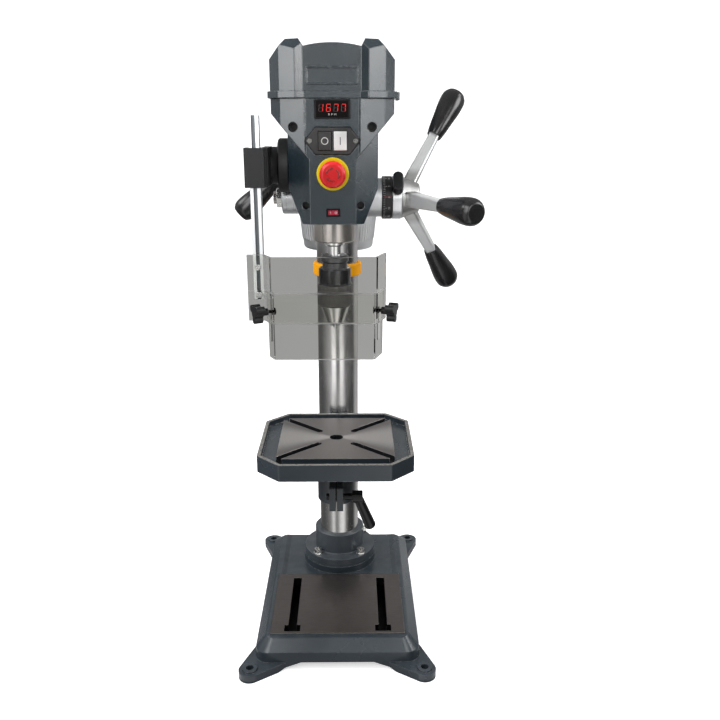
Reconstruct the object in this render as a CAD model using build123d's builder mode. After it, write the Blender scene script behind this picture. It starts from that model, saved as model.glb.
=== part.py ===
import os
from math import atan2, ceil, cos, degrees, hypot, pi, radians, sin, sqrt, tan

from build123d import *

os.makedirs("parts", exist_ok=True)


def keep(piece, label):
    piece.label = label
    export_step(piece, f"parts/{label}.step")


def mirrored(points):
    # Half outline with X above zero, closed by its mirror image
    return points + [(-x, y) for x, y in reversed(points)]


on_foot = (Align.CENTER, Align.CENTER, Align.MIN)    # a solid that stands on its location

# Fits, in millimetres as everything below
running_fit = 0.05      # radial clearance of a shaft that turns or slides in its bore
free_gap = 0.4          # clearance between pieces that pass each other
seat_gap = 0.3          # gap under a lid or button at rest

# Bench bolts and base casting, the origin is the middle of the bolt pattern on the bench
bolt_spacing_x = 276
bolt_spacing_y = 400
bench_bolt_d = 12
ear_r = 18
ear_thickness = 13
ear_spot_h = 3
ear_reach = 62          # how far an ear runs into the body
base_w = 268
base_d = 372
base_corner_r = 24
base_wall_h = 30
base_draft = 4
base_wall = 9
base_edge_r = 6
deck_z = 49             # painted top of the base
deck_w = 230
deck_front_y = -168
deck_rear_y = 157
deck_corner_r = 12
pad_h = 2               # machined pad above the deck
pad_w = 218
pad_front_y = -162
pad_rear_y = 10
floor_drop = 4          # painted floor round the column, below the deck
floor_w = 194
floor_slope_w = 12
top_plate = 11
slot_x = 74             # slots in the base, either side of the middle
slot_w = 14
slot_front_y = -157
slot_rear_y = -2
slot_entry_w = 26
slot_entry_l = 17
arch_h = 13
arch_half_w = 58
arch_run = 36

# Column, its flange and the ring on it
column_y = 87
column_d = 70
column_wall = 6
column_top_z = 842
boss_d = 134
boss_h = 13
boss_foot_z = 8
flange_d = 130
flange_h = 14
collar_d = 90
collar_h = 39
collar_root_r = 2
collar_edge = 1.5
flange_pcd = 112
flange_bolt_d = 8
flange_bolt_l = 34
bolt_head_d = 13
bolt_head_h = 8
bolt_socket_af = 6
bolt_socket_depth = 4
washer_d = 16
washer_h = 1.6
set_screw_d = 8
set_screw_head = 12
set_screw_head_h = 6
stop_ring_z = 601       # middle of the orange ring
stop_ring_h = 21
stop_ring_d = 82
stop_ring_slit = 3

# Table and its arm
throat = 192            # column axis to spindle axis
table_z = 368
table_w = 234
table_d = 210
table_corner = 35
table_h = 26
table_rim = 6
table_pad_w = 176
table_pad_d = 163
table_channel = 5       # least channel between a corner of the pad and the rim
table_edge_r = 1.2      # rounding of the rim's top
channel_depth = 9
table_plate = 16
table_hole_d = 21
table_slot_w = 11
table_slot_start = 32
table_slot_over = 4     # slot's end beyond the pad's corner, short of the rim
hub_d = 74
stem_d = 40
arm_boss_d = 60
arm_boss_h = 62
arm_boss_drop = 40      # top of the arm's boss below the table top
arm_w = 46
arm_h = 30
sleeve_d = 108
sleeve_h = 62
sleeve_drop = 56        # top of the column sleeve below the table top
bush_wall = 3.5
bush_flange_d = 94
bush_flange_h = 4
lug_thickness = 9.5
lug_reach = 26
lug_h = 42
slit_w = 2
clamp_screw_d = 10
clamp_stud_l = 14
clamp_hub_d = 19
clamp_hub_l = 16
clamp_arm_l = 58
clamp_arm_lean = 22     # degrees outward
clamp_arm_d0 = 15
clamp_arm_d1 = 18

# Head casting, belt cover and front cover
head_bottom_z = 706
tray_z = 858            # underside of the belt tray
tray_lap = 22           # front of the pulley tray ahead of the cover's back
tray_h = 11
quill_barrel_d = 78
column_barrel_d = 100
column_barrel_z = 716
head_clamp_up = 30      # lower clamp screw above the barrel's end
head_clamp_down = 45    # upper clamp screw below the tray
cover_front_y = -171
cover_back_y = -124
cover_wall = 4
cover_top_half_w = 82
cover_mid_half_w = 61
cover_low_half_w = 42
cover_shoulder_z = 850
cover_waist_z = 826
cover_taper_z = 752
cover_vee_half_w = 31
panel_half_w = 35
panel_recess = 2
face_half_w = 69
face_back = 7
facet_back = 21
low_face_back = 22
lid_gap = 0.3
lid_lip_h = 8.5
lid_lip_out = 3.5
lid_wall = 4
lid_front_y = -174
lid_panel_half_w = 38
lid_panel_back = 7
lid_rib_in = 48
lid_rib_out = 69
lid_rib_back = 4.3      # outer edge of a pilaster behind its inner edge
lid_half_w = 82
lid_facet_y = -153
lid_rear_y = 280
lid_rear_r = 60
lid_side_z = 917
lid_rib_z = 942
lid_rib_top_in = 43
lid_rib_top_out = 60
lid_crown_z = 937
lid_valley_z = 932.5
lid_brow_z = 929
lid_brow_run = 11
badge_half_w = 34
badge_z = 897
badge_h = 22
badge_line = 2
badge_out = 1.2
hinge_pin_d = 6
hinge_r = 6.5
hinge_l = 34
hinge_span = 180        # between the two hinges
hinge_y = 95            # middle of the hinges
latch_w = 28
latch_t = 4.5
latch_y = -120
latch_drop = 2

# Controls on the front cover
display_z = 855.5
display_w = 47.5
display_h = 24.5
display_out = 2
display_body = 20
lens_inset = 4
switch_z = 815.5
switch_half_w = 37
switch_half_h = 17.5
switch_flat_half_w = 23
switch_out = 3
switch_pocket = 1.5
button_w = 17
button_h = 24
button_x = 10.2
button_out = 2.5
button_body = 14
switch_screw_x = 30.5
switch_screw_d = 6
estop_z = 773
estop_collar_d = 43
estop_collar_h = 3
estop_stem_d = 20
estop_head_d = 35
estop_head_h = 13
estop_travel = 5
estop_hole_d = 22.5
rocker_z = 722
rocker_w = 19
rocker_h = 11
rocker_rim = 2
rocker_out = 1.6
screw_upper_x = 52
screw_upper_z = 833
screw_lower_x = 37
screw_lower_z = 731
screw_well_upper_d = 12.5
screw_well_lower_d = 10.5
screw_well_depth = 18
screw_d = 5
screw_head_d = 9
screw_head_h = 4
post_r = 9

# Quill, spindle, chuck and drive
quill_d = 60
quill_bottom_z = 675
quill_l = 143
quill_bore_d = 36
rack_module = 2
pinion_teeth = 14
rack_backlash = 0.6
rack_tip = 29.5         # rack tooth tips from the spindle axis
rack_low_z = 690
pinion_w = 18
spindle_d = 25
spindle_top_z = 922
spindle_nose_d = 29
spindle_nose_h = 7
spindle_neck_d = 20
spindle_neck_h = 13
arbor_d = 16
arbor_l = 26
spline_count = 6
spline_d = 24
spline_core_d = 20
spline_w = 5
bearing_h = 14
bearing_od = 47
chuck_collar_d = 41
chuck_collar_h = 11
chuck_waist_d = 36
chuck_waist_h = 8
chuck_ring_d = 47
chuck_ring_h = 24
chuck_sleeve_d = 51.5
chuck_sleeve_h = 32
chuck_nose_d = 42
chuck_nose_tip_d = 24
chuck_nose_h = 28
chuck_core_d = 43
jaw_d = 7
jaw_l = 46
jaw_lean = 9
jaw_grip_d = 6
jaw_out = 4
jaw_tip_r = 4.2         # jaw axis from the spindle axis at its tip
jaw_close = 14
pulley_d = 104
pulley_h = 34
pulley_gap = 5
groove_count = 6
groove_pitch = 4
groove_depth = 3
sleeve_od = 40
pulley_bearing_od = 68
pulley_bearing_h = 15
motor_y = 211
motor_pulley_d = 62
motor_shaft_d = 19
motor_shaft_foot = 20   # foot of the shaft above the motor's bottom
belt_thickness = 4
motor_d = 144
motor_foot_d = 126
motor_top_z = 846
motor_bottom_z = 618
motor_taper_z = 705
motor_rib_count = 28
motor_rib_w = 3
motor_rib_depth = 3

# Feed, depth stop and return spring
feed_z = 732.5
feed_shaft_d = 18
feed_boss_d = 56
feed_boss_x = 69
feed_bush_d = 36
feed_bush_l = 36
spring_boss_x = -52
spring_cup_d = 47
spring_cup_l = 25
spring_nut_af = 27
spring_nut_l = 8
shaft_end_l = 5
scale_d = 62
scale_l = 14.5
stop_d = 62
stop_l = 14.5
hub_cone_d0 = 60
hub_cone_d1 = 40
hub_l = 26
handle_reach = 168      # radius at the grip's end
handle_lean = 27        # degrees from square to the feed axis
handle_first = 91.5     # first arm, degrees from straight up, towards the front
handle_w = 16
handle_t = 15
grip_l = 78
grip_d0 = 22
grip_d1 = 37
knob_stem_d = 8
knob_angle = 58         # lock knob from straight up, towards the front
knob_wing_w = 30
knob_wing_h = 15
knob_l = 22

# Guard
guard_pivot_z = 781
pivot_flange_d = 74
pivot_flange_x = -62
pivot_flange_t = 15
bracket_t = 18
bracket_arm_t = 9
profile_x = -103
profile_y = -171
profile_w = 14.5
profile_top_z = 848
profile_bottom_z = 604
profile_slot_w = 5
profile_slot_depth = 4.5
guard_sleeve_w = 27
guard_sleeve_h = 51
guard_sleeve_z = 781.5
pivot_bolt_d = 12
shield_t = 3
shield_front_y = -203
shield_back_y = -166
upper_left_x = -95
upper_fold_left = -84
upper_fold_right = 58
upper_right_x = 71
upper_top_z = 667
upper_bottom_z = 575
flange_left_x = -117
lower_inset = 4
lower_left_back_y = -181
lower_top_z = 617
lower_bottom_z = 523
shield_slot_w = 6
shield_slot_l = 46
shield_screw_d = 4
shield_screw_head = 8
shield_screw_zs = (650, 612)
shield_bend_r = 5
knob_screw_d = 5
knob_standoff = 10
guard_knob_r = 15
guard_knob_z = 590
guard_knob_t = 12

# Belt tension lever on the left of the head
lever_y = 30
lever_z = 783
lever_hub_d = 26
lever_hub_l = 10
lever_rod_d = 10
lever_lean = 48         # degrees from straight down, outward
lever_rod_l = 50

# Values worked out from the driving dimensions
spindle_y = column_y - throat
shoulder_inset = base_wall_h * tan(radians(base_draft))
floor_z = deck_z - floor_drop
boss_top_z = floor_z + boss_h
flange_top_z = boss_top_z + flange_h
column_r = column_d / 2
tray_top_z = tray_z + tray_h

# Base casting: drafted wall, sloping shoulder, machined pad, recessed floor and four ears
with BuildPart() as base_casting:
    with BuildSketch() as base_foot:
        RectangleRounded(base_w, base_d, base_corner_r)
    extrude(amount=base_wall_h, taper=base_draft)
    with BuildSketch(Plane.XY.offset(base_wall_h)) as shoulder_low:
        RectangleRounded(base_w - 2 * shoulder_inset, base_d - 2 * shoulder_inset,
                         base_corner_r - shoulder_inset)
    with BuildSketch(Plane.XY.offset(deck_z)) as shoulder_high:
        with Locations((0, (deck_front_y + deck_rear_y) / 2)):
            RectangleRounded(deck_w, deck_rear_y - deck_front_y, deck_corner_r)
    loft()
    fillet(base_casting.edges().group_by(Axis.Z)[-1], base_edge_r)
    with BuildSketch(Plane.XY.offset(deck_z)) as pad:
        with Locations((0, (pad_front_y + pad_rear_y) / 2)):
            Rectangle(pad_w, pad_rear_y - pad_front_y)
    extrude(amount=pad_h)
    with BuildSketch(Plane.XZ.offset(-pad_rear_y)) as floor_cut:
        with BuildLine():
            Polyline(mirrored([(floor_w / 2, floor_z),
                               (floor_w / 2 + floor_slope_w, deck_z + pad_h)]), close=True)
        make_face()
    extrude(amount=-base_d, mode=Mode.SUBTRACT)
    for side_x in (-1, 1):
        for side_y in (-1, 1):
            with BuildSketch() as ear:
                with Locations((side_x * bolt_spacing_x / 2, side_y * bolt_spacing_y / 2)):
                    Circle(ear_r)
                with Locations((side_x * (base_w - ear_reach) / 2, side_y * (base_d - ear_reach) / 2)):
                    Rectangle(ear_reach - base_wall, ear_reach - base_wall)
                make_hull()
            extrude(amount=ear_thickness)
    with BuildSketch(Plane.XY.offset(ear_thickness)):
        with GridLocations(bolt_spacing_x, bolt_spacing_y, 2, 2):
            Circle(bench_bolt_d)
    extrude(amount=ear_spot_h, taper=base_draft)
    with BuildSketch() as hollow_low:
        RectangleRounded(base_w - 2 * base_wall, base_d - 2 * base_wall, base_corner_r - base_wall)
    extrude(amount=base_wall_h - base_wall, mode=Mode.SUBTRACT)
    with BuildSketch(Plane.XY.offset(base_wall_h - base_wall)) as hollow_high:
        with Locations((0, (deck_front_y + deck_rear_y) / 2)):
            RectangleRounded(deck_w - 2 * base_wall, deck_rear_y - deck_front_y - 2 * base_wall,
                             deck_corner_r)
    extrude(amount=floor_z - top_plate - base_wall_h + base_wall, mode=Mode.SUBTRACT)
    with BuildSketch(Plane.XY.offset(boss_foot_z)):
        with Locations((0, column_y)):
            Circle(boss_d / 2)
    extrude(amount=boss_top_z - boss_foot_z)
    with BuildSketch(Plane.XY.offset(boss_top_z)):
        with Locations((0, column_y)):
            with PolarLocations(flange_pcd / 2, 4, 45):
                Circle(flange_bolt_d / 2)
    extrude(amount=-flange_bolt_l, mode=Mode.SUBTRACT)
    with BuildSketch(Plane.XY.offset(deck_z + pad_h)) as slots:
        for side_x in (-1, 1):
            with Locations((side_x * slot_x, (slot_front_y + slot_rear_y) / 2)):
                Rectangle(slot_w, slot_rear_y - slot_front_y)
            with Locations((side_x * slot_x, slot_front_y + slot_entry_l / 2)):
                Rectangle(slot_entry_w, slot_entry_l)
    extrude(amount=-deck_z, mode=Mode.SUBTRACT)
    with BuildSketch(Plane.XZ.offset(base_d)) as arch:
        with BuildLine():
            Polyline(mirrored([(arch_half_w + arch_run, 0), (arch_half_w, arch_h)]), close=True)
        make_face()
    extrude(amount=-2 * base_d, mode=Mode.SUBTRACT)
    with Locations((0, 0, ear_thickness + ear_spot_h)):
        with GridLocations(bolt_spacing_x, bolt_spacing_y, 2, 2):
            Hole(bench_bolt_d / 2)
keep(base_casting.part, "base_casting")

# Column flange with its collar, and the lug of the set screw on the right
set_screw_z = flange_top_z + 0.7 * collar_h
with BuildPart() as column_flange:
    with BuildSketch(Plane.XY.offset(boss_top_z)):
        with Locations((0, column_y)):
            Circle(flange_d / 2)
    extrude(amount=flange_h)
    with BuildSketch(Plane.XY.offset(flange_top_z)):
        with Locations((0, column_y)):
            Circle(collar_d / 2)
    extrude(amount=collar_h)
    collar_rings = column_flange.edges().filter_by(GeomType.CIRCLE)
    collar_root = collar_rings.filter_by_position(Axis.Z, flange_top_z, flange_top_z)
    fillet(collar_root.sort_by(SortBy.RADIUS)[0], collar_root_r)
    chamfer(column_flange.edges().filter_by(GeomType.CIRCLE).group_by(Axis.Z)[-1], collar_edge)
    with Locations((0, column_y, boss_top_z)):
        Cylinder(column_r + running_fit, flange_h + collar_h, align=on_foot,
                 mode=Mode.SUBTRACT)
        with PolarLocations(flange_pcd / 2, 4, 45):
            Cylinder(flange_bolt_d / 2 + free_gap, flange_h, align=on_foot,
                     mode=Mode.SUBTRACT)
    with BuildSketch(Plane.YZ.offset(column_r - set_screw_d)):
        with Locations((column_y, set_screw_z)):
            Circle(set_screw_d / 2)
    extrude(amount=collar_d, mode=Mode.SUBTRACT)
keep(column_flange.part, "column_flange")

# Four cap screws with washers that hold the flange
with BuildPart() as flange_bolts:
    with Locations((0, column_y, flange_top_z)):
        with PolarLocations(flange_pcd / 2, 4, 45):
            Cylinder(washer_d / 2, washer_h, align=on_foot)
    with Locations((0, column_y, flange_top_z + washer_h)):
        with PolarLocations(flange_pcd / 2, 4, 45):
            Cylinder(bolt_head_d / 2, bolt_head_h, align=on_foot)
            Cylinder(flange_bolt_d / 2, flange_bolt_l, align=(Align.CENTER, Align.CENTER, Align.MAX))
    with BuildSketch(Plane.XY.offset(flange_top_z + washer_h + bolt_head_h)):
        with Locations((0, column_y)):
            with PolarLocations(flange_pcd / 2, 4, 45):
                RegularPolygon(bolt_socket_af / 2, 6, major_radius=False)
    extrude(amount=-bolt_socket_depth, mode=Mode.SUBTRACT)
keep(flange_bolts.part, "flange_bolts")

# Column tube
with BuildPart() as column:
    with BuildSketch(Plane.XY.offset(boss_top_z)):
        with Locations((0, column_y)):
            Circle(column_r)
            Circle(column_r - column_wall, mode=Mode.SUBTRACT)
    extrude(amount=column_top_z - boss_top_z)
keep(column.part, "column")

# Split ring clamped on the column behind the chuck
with BuildPart() as column_ring:
    with BuildSketch(Plane.XY.offset(stop_ring_z - stop_ring_h / 2)):
        with Locations((0, column_y)):
            Circle(stop_ring_d / 2)
            Circle(column_r + running_fit, mode=Mode.SUBTRACT)
        with Locations((0, column_y + stop_ring_d / 2)):
            Rectangle(stop_ring_slit, stop_ring_d / 2, mode=Mode.SUBTRACT)
    extrude(amount=stop_ring_h)
    fillet(column_ring.edges().filter_by(GeomType.CIRCLE).group_by(SortBy.RADIUS)[-1], 3)
keep(column_ring.part, "column_ring")

# Table: tray with a machined pad, open below, with a hub and a stem for the arm
table_bottom_z = table_z - table_h
boss_top = table_z - arm_boss_drop
boss_bottom = boss_top - arm_boss_h
table_outline = mirrored([(table_w / 2, -table_d / 2 + table_corner),
                          (table_w / 2, table_d / 2 - table_corner),
                          (table_w / 2 - table_corner, table_d / 2)])
front_corner = table_w / 2 - table_corner
table_outline = [(front_corner, -table_d / 2)] + table_outline + [(-front_corner, -table_d / 2)]
slot_angle = atan2(table_pad_d, table_pad_w)
pad_cut = (table_w + table_d) / 2 - table_corner - (table_rim + table_channel) * sqrt(2)   # across plus along
pad_reach = min(hypot(table_pad_w, table_pad_d) / 2, pad_cut / (cos(slot_angle) + sin(slot_angle)))
slot_reach = pad_reach + table_slot_over
slot_angle = degrees(slot_angle)
with BuildPart() as table:
    with BuildSketch(Plane((0, spindle_y, table_bottom_z))) as tray:
        with BuildLine():
            Polyline(table_outline, close=True)
        make_face()
    extrude(amount=table_h)
    fillet(table.edges().filter_by(Axis.Z), table_rim)
    with BuildSketch() as pad:
        with BuildLine():
            Polyline(table_outline, close=True)
        make_face()
        offset(amount=-table_rim - table_channel, kind=Kind.INTERSECTION, mode=Mode.REPLACE)
        Rectangle(table_pad_w, table_pad_d, mode=Mode.INTERSECT)
    with BuildSketch(Plane((0, spindle_y, table_z))) as channel:
        with BuildLine():
            Polyline(table_outline, close=True)
        make_face()
        offset(amount=-table_rim, kind=Kind.INTERSECTION, mode=Mode.REPLACE)
        add(pad.sketch, mode=Mode.SUBTRACT)
    extrude(amount=-channel_depth, mode=Mode.SUBTRACT)
    with BuildSketch(Plane((0, spindle_y, table_bottom_z))) as below:
        with BuildLine():
            Polyline(table_outline, close=True)
        make_face()
        offset(amount=-table_rim - free_gap, kind=Kind.INTERSECTION, mode=Mode.REPLACE)
    extrude(amount=table_h - table_plate, mode=Mode.SUBTRACT)
    with BuildSketch(Plane((0, spindle_y, table_z))) as table_slots:
        for turn in (slot_angle, 180 - slot_angle, 180 + slot_angle, -slot_angle):
            with Locations(Location((0, 0), turn)):
                with Locations(((table_slot_start + slot_reach) / 2, 0)):
                    SlotOverall(slot_reach - table_slot_start, table_slot_w)
    extrude(amount=-table_plate, mode=Mode.SUBTRACT)
    with BuildSketch(Plane((0, spindle_y, table_z - table_plate))):
        Circle(hub_d / 2)
    extrude(amount=boss_top - table_z + table_plate)
    with BuildSketch(Plane((0, spindle_y, boss_top))):
        Circle(stem_d / 2)
    extrude(amount=-arm_boss_h)
    with Locations((0, spindle_y, table_z)):
        Hole(table_hole_d / 2)
    rim_edges = table.edges().group_by(Axis.Z)[-1]
    fillet(rim_edges.filter_by(lambda e: abs(e.center().Y - spindle_y) > table_pad_d / 2 + 1
                               or abs(e.center().X) > table_pad_w / 2 + 1), table_edge_r)
keep(table.part, "table")

# Table arm: split boss for the stem at the front, sleeve for the column bush at the rear
sleeve_top = table_z - sleeve_drop
sleeve_bottom = sleeve_top - sleeve_h
bush_r = column_r + running_fit + bush_wall
arm_mid_z = (boss_top + boss_bottom) / 2
front_lug_y = spindle_y - arm_boss_d / 2 - lug_reach / 2
rear_lug_y = column_y + sleeve_d / 2 + lug_reach / 2
lug_z = boss_bottom + lug_h / 2
lug_half = lug_thickness + slit_w / 2
lug_run = lug_reach + arm_boss_d / 2 - stem_d / 2 - 1
with BuildPart() as table_arm:
    with BuildSketch(Plane((0, spindle_y, boss_bottom))):
        Circle(arm_boss_d / 2)
    extrude(amount=arm_boss_h)
    with BuildSketch(Plane((0, column_y, sleeve_bottom))):
        Circle(sleeve_d / 2)
    extrude(amount=sleeve_h)
    with BuildSketch(Plane.XY.offset(arm_mid_z - arm_h / 2)):
        with Locations((0, (spindle_y + column_y) / 2)):
            Rectangle(arm_w, throat)
    extrude(amount=arm_h)
    with Locations((0, front_lug_y + (lug_reach - lug_run) / -2, lug_z)):
        Box(2 * lug_half, lug_run, lug_h)
    with Locations((0, rear_lug_y - lug_reach / 4, lug_z)):
        Box(2 * lug_half, 1.5 * lug_reach, lug_h)
    fillet(table_arm.edges().filter_by(Axis.X).group_by(Axis.Y)[0], lug_reach / 4)
    fillet(table_arm.edges().filter_by(Axis.X).group_by(Axis.Y)[-1], lug_reach / 4)
    with Locations((0, spindle_y, boss_bottom)):
        Cylinder(stem_d / 2 + running_fit, arm_boss_h, align=on_foot,
                 mode=Mode.SUBTRACT)
    with Locations((0, column_y, sleeve_bottom)):
        Cylinder(bush_r + running_fit, sleeve_h, align=on_foot, mode=Mode.SUBTRACT)
    with Locations((0, spindle_y - arm_boss_d / 2 - lug_reach / 2, arm_mid_z)):
        Box(slit_w, arm_boss_d + lug_reach, sleeve_h * 2, mode=Mode.SUBTRACT)
    with Locations((0, column_y + sleeve_d / 2 + lug_reach / 2, arm_mid_z)):
        Box(slit_w, sleeve_d + lug_reach, sleeve_h * 2, mode=Mode.SUBTRACT)
    for hole_y in (front_lug_y, rear_lug_y):
        with Locations(Location((0, hole_y, lug_z), (0, 90, 0))):
            Cylinder(clamp_screw_d / 2 + running_fit, 4 * lug_half, mode=Mode.SUBTRACT)
keep(table_arm.part, "table_arm")

# Guide bush between the arm and the column, with a flange that carries the arm
with BuildPart() as arm_bush:
    with BuildSketch(Plane((0, column_y, sleeve_bottom - bush_flange_h))):
        Circle(bush_flange_d / 2)
    extrude(amount=bush_flange_h)
    with BuildSketch(Plane((0, column_y, sleeve_bottom))):
        Circle(bush_r)
    extrude(amount=sleeve_h)
    with Locations((0, column_y, sleeve_bottom - bush_flange_h)):
        Cylinder(column_r + running_fit, sleeve_h + bush_flange_h, align=on_foot,
                 mode=Mode.SUBTRACT)
keep(arm_bush.part, "arm_bush")


def clamp_lever(at_y, at_z):
    # Clamp lever on the right of two lugs: screw through both, stud, hub and an arm that leans out
    arm_dir = Vector(sin(radians(clamp_arm_lean)), 0, -cos(radians(clamp_arm_lean)))
    hub_x = lug_half + clamp_stud_l
    arm_foot = Vector(hub_x + clamp_hub_l / 2, at_y, at_z)
    with BuildPart() as lever:
        with BuildSketch(Plane.YZ.offset(-lug_half - clamp_screw_d / 2)):
            with Locations((at_y, at_z)):
                Circle(clamp_screw_d / 2)
        extrude(amount=2 * lug_half + clamp_screw_d / 2 + clamp_stud_l)
        with BuildSketch(Plane.YZ.offset(hub_x)):
            with Locations((at_y, at_z)):
                Circle(clamp_hub_d / 2)
        extrude(amount=clamp_hub_l)
        with BuildSketch(Plane(arm_foot, x_dir=(0, 1, 0), z_dir=arm_dir)):
            Circle(clamp_arm_d0 / 2)
        with BuildSketch(Plane(arm_foot + arm_dir * clamp_arm_l, x_dir=(0, 1, 0), z_dir=arm_dir)):
            Circle(clamp_arm_d1 / 2)
        loft()
        fillet(lever.faces().sort_by(Axis.Z)[0].edges(), clamp_arm_d1 / 3)
    return lever.part


keep(clamp_lever(front_lug_y, lug_z), "table_clamp_lever")
keep(clamp_lever(rear_lug_y, lug_z), "arm_clamp_lever")

# Plan of the belt cover: recessed front panel, two pilasters, side facets and a rounded rear
lid_front_half = [(lid_panel_half_w, lid_front_y + lid_panel_back), (lid_rib_in, lid_front_y),
                  (lid_rib_out, lid_front_y + lid_rib_back), (lid_half_w, lid_facet_y)]
rear_corner_y = lid_rear_y - lid_rear_r


def lid_plan(plane):
    # The plan of the belt cover as a closed face on the given plane
    with BuildSketch(plane) as plan:
        with BuildLine():
            Polyline([(-x, y) for x, y in reversed(lid_front_half)] + lid_front_half
                     + [(lid_half_w, rear_corner_y)])
            RadiusArc((lid_half_w, rear_corner_y), (lid_half_w - lid_rear_r, lid_rear_y), -lid_rear_r)
            Line((lid_half_w - lid_rear_r, lid_rear_y), (lid_rear_r - lid_half_w, lid_rear_y))
            RadiusArc((lid_rear_r - lid_half_w, lid_rear_y), (-lid_half_w, rear_corner_y), -lid_rear_r)
            Line((-lid_half_w, rear_corner_y), (-lid_half_w, lid_facet_y))
        make_face()
    return plan.sketch


lid_z = tray_top_z + lid_gap
lid_inner_z = lid_side_z - lid_wall
lid_roof_z = lid_valley_z - lid_wall
lid_front_outline = [(lid_half_w + lid_lip_out, lid_z), (lid_half_w + lid_lip_out, lid_z + lid_lip_h),
                     (lid_half_w, lid_z + lid_lip_h), (lid_half_w, lid_side_z),
                     (lid_rib_top_out, lid_rib_z - 1), (lid_rib_top_in, lid_rib_z),
                     (lid_panel_half_w, lid_valley_z)]
with BuildPart() as belt_cover:
    add(lid_plan(Plane.XY.offset(lid_z)))
    extrude(amount=lid_rib_z - lid_z)
    with BuildSketch(Plane.XY.offset(lid_z)) as lip:
        add(lid_plan(Plane.XY))
        offset(amount=lid_lip_out, kind=Kind.ARC, mode=Mode.REPLACE)
    extrude(amount=lid_lip_h)
    with BuildSketch(Plane.XZ.offset(-lid_rear_y - lid_wall)) as front_shape:
        with BuildLine():
            Polyline(list(reversed(lid_front_outline)))
            Line(lid_front_outline[0], (-lid_front_outline[0][0], lid_front_outline[0][1]))
            Polyline([(-x, z) for x, z in lid_front_outline])
            ThreePointArc((-lid_panel_half_w, lid_valley_z), (0, lid_crown_z),
                          (lid_panel_half_w, lid_valley_z))
        make_face()
    extrude(amount=2 * lid_rear_y, mode=Mode.INTERSECT)
    with BuildSketch(Plane.YZ.offset(-2 * lid_half_w)) as side_shape:
        with BuildLine():
            Polyline((lid_front_y - lid_lip_out, lid_z), (lid_front_y - lid_lip_out, lid_z + lid_lip_h),
                     (lid_front_y, lid_z + lid_lip_h), (lid_front_y, lid_brow_z),
                     (lid_front_y + lid_brow_run, lid_rib_z), (lid_rear_y - 2 * lid_brow_run, lid_rib_z),
                     (lid_rear_y, lid_side_z), (lid_rear_y, lid_z + lid_lip_h),
                     (lid_rear_y + lid_lip_out, lid_z + lid_lip_h), (lid_rear_y + lid_lip_out, lid_z),
                     close=True)
        make_face()
    extrude(amount=4 * lid_half_w, mode=Mode.INTERSECT)
    fillet(belt_cover.edges().filter_by(Axis.Z).filter_by(lambda e: e.center().Y < lid_facet_y + 1
                                                          and e.center().Z > lid_z + lid_lip_h), 1.5)
    with BuildSketch(Plane.XY.offset(lid_z)) as hollow:
        add(lid_plan(Plane.XY))
        offset(amount=-lid_wall, kind=Kind.INTERSECTION, mode=Mode.REPLACE)
    extrude(amount=lid_inner_z - lid_z, mode=Mode.SUBTRACT)
    with BuildSketch(Plane.XY.offset(lid_inner_z - 1)) as hollow_roof:
        with Locations((0, (lid_front_y + lid_rear_y) / 2)):
            Rectangle(2 * lid_rib_top_out - 2 * lid_wall, lid_rear_y - lid_front_y - 5 * lid_brow_run)
    extrude(amount=lid_roof_z - lid_inner_z + 1, mode=Mode.SUBTRACT)
    with BuildSketch(Plane.XZ.offset(-lid_front_y - lid_panel_back)) as badge:
        with Locations((0, badge_z)):
            RectangleRounded(2 * badge_half_w, badge_h, badge_line)
            RectangleRounded(2 * badge_half_w - 2 * badge_line, badge_h - 2 * badge_line, badge_line / 2,
                             mode=Mode.SUBTRACT)
    extrude(amount=badge_out)
    hinge_x = -lid_half_w - lid_lip_out - hinge_r
    for knuckle_y in (hinge_y - hinge_span / 2, hinge_y + hinge_span / 2):
        with BuildSketch(Plane.XZ.offset(-knuckle_y - hinge_l / 6 + free_gap)) as knuckle:
            with Locations((hinge_x, lid_z + hinge_r)):
                Circle(hinge_r)
            with Locations((hinge_x + hinge_r, lid_z + hinge_r)):
                Rectangle(2 * hinge_r, 2 * hinge_r - 2)
            with Locations((hinge_x, lid_z + hinge_r)):
                Circle(hinge_pin_d / 2 + running_fit, mode=Mode.SUBTRACT)
        extrude(amount=hinge_l / 3 - 2 * free_gap)
    with Locations((lid_half_w + lid_lip_out + latch_t / 2, latch_y, lid_z - latch_drop)):
        Box(latch_t, latch_w, latch_drop + lid_lip_h, align=on_foot)
    fillet(belt_cover.faces().sort_by(Axis.X)[-1].edges(), latch_t / 3)
keep(belt_cover.part, "belt_cover")

# Places shared by the head, the feed and the guard
pinion_r = rack_module * pinion_teeth / 2
rack_pitch_y = rack_tip - rack_module       # pitch line of the rack from the spindle axis
feed_y = spindle_y + rack_pitch_y + pinion_r
pinion_room_r = pinion_r + rack_module + free_gap
tray_front_y = cover_back_y - tray_lap
panel_y = cover_front_y + panel_recess
pulley_bearing_z = tray_top_z - pulley_bearing_h - 4
quill_top_z = quill_bottom_z + quill_l
sleeve_bottom_z = quill_top_z + 4
head_clamp_z = (column_barrel_z + head_clamp_up, tray_z - head_clamp_down)
guard_boss_r = pivot_flange_d / 4
lever_boss_x = -column_barrel_d / 2 - 4

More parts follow.
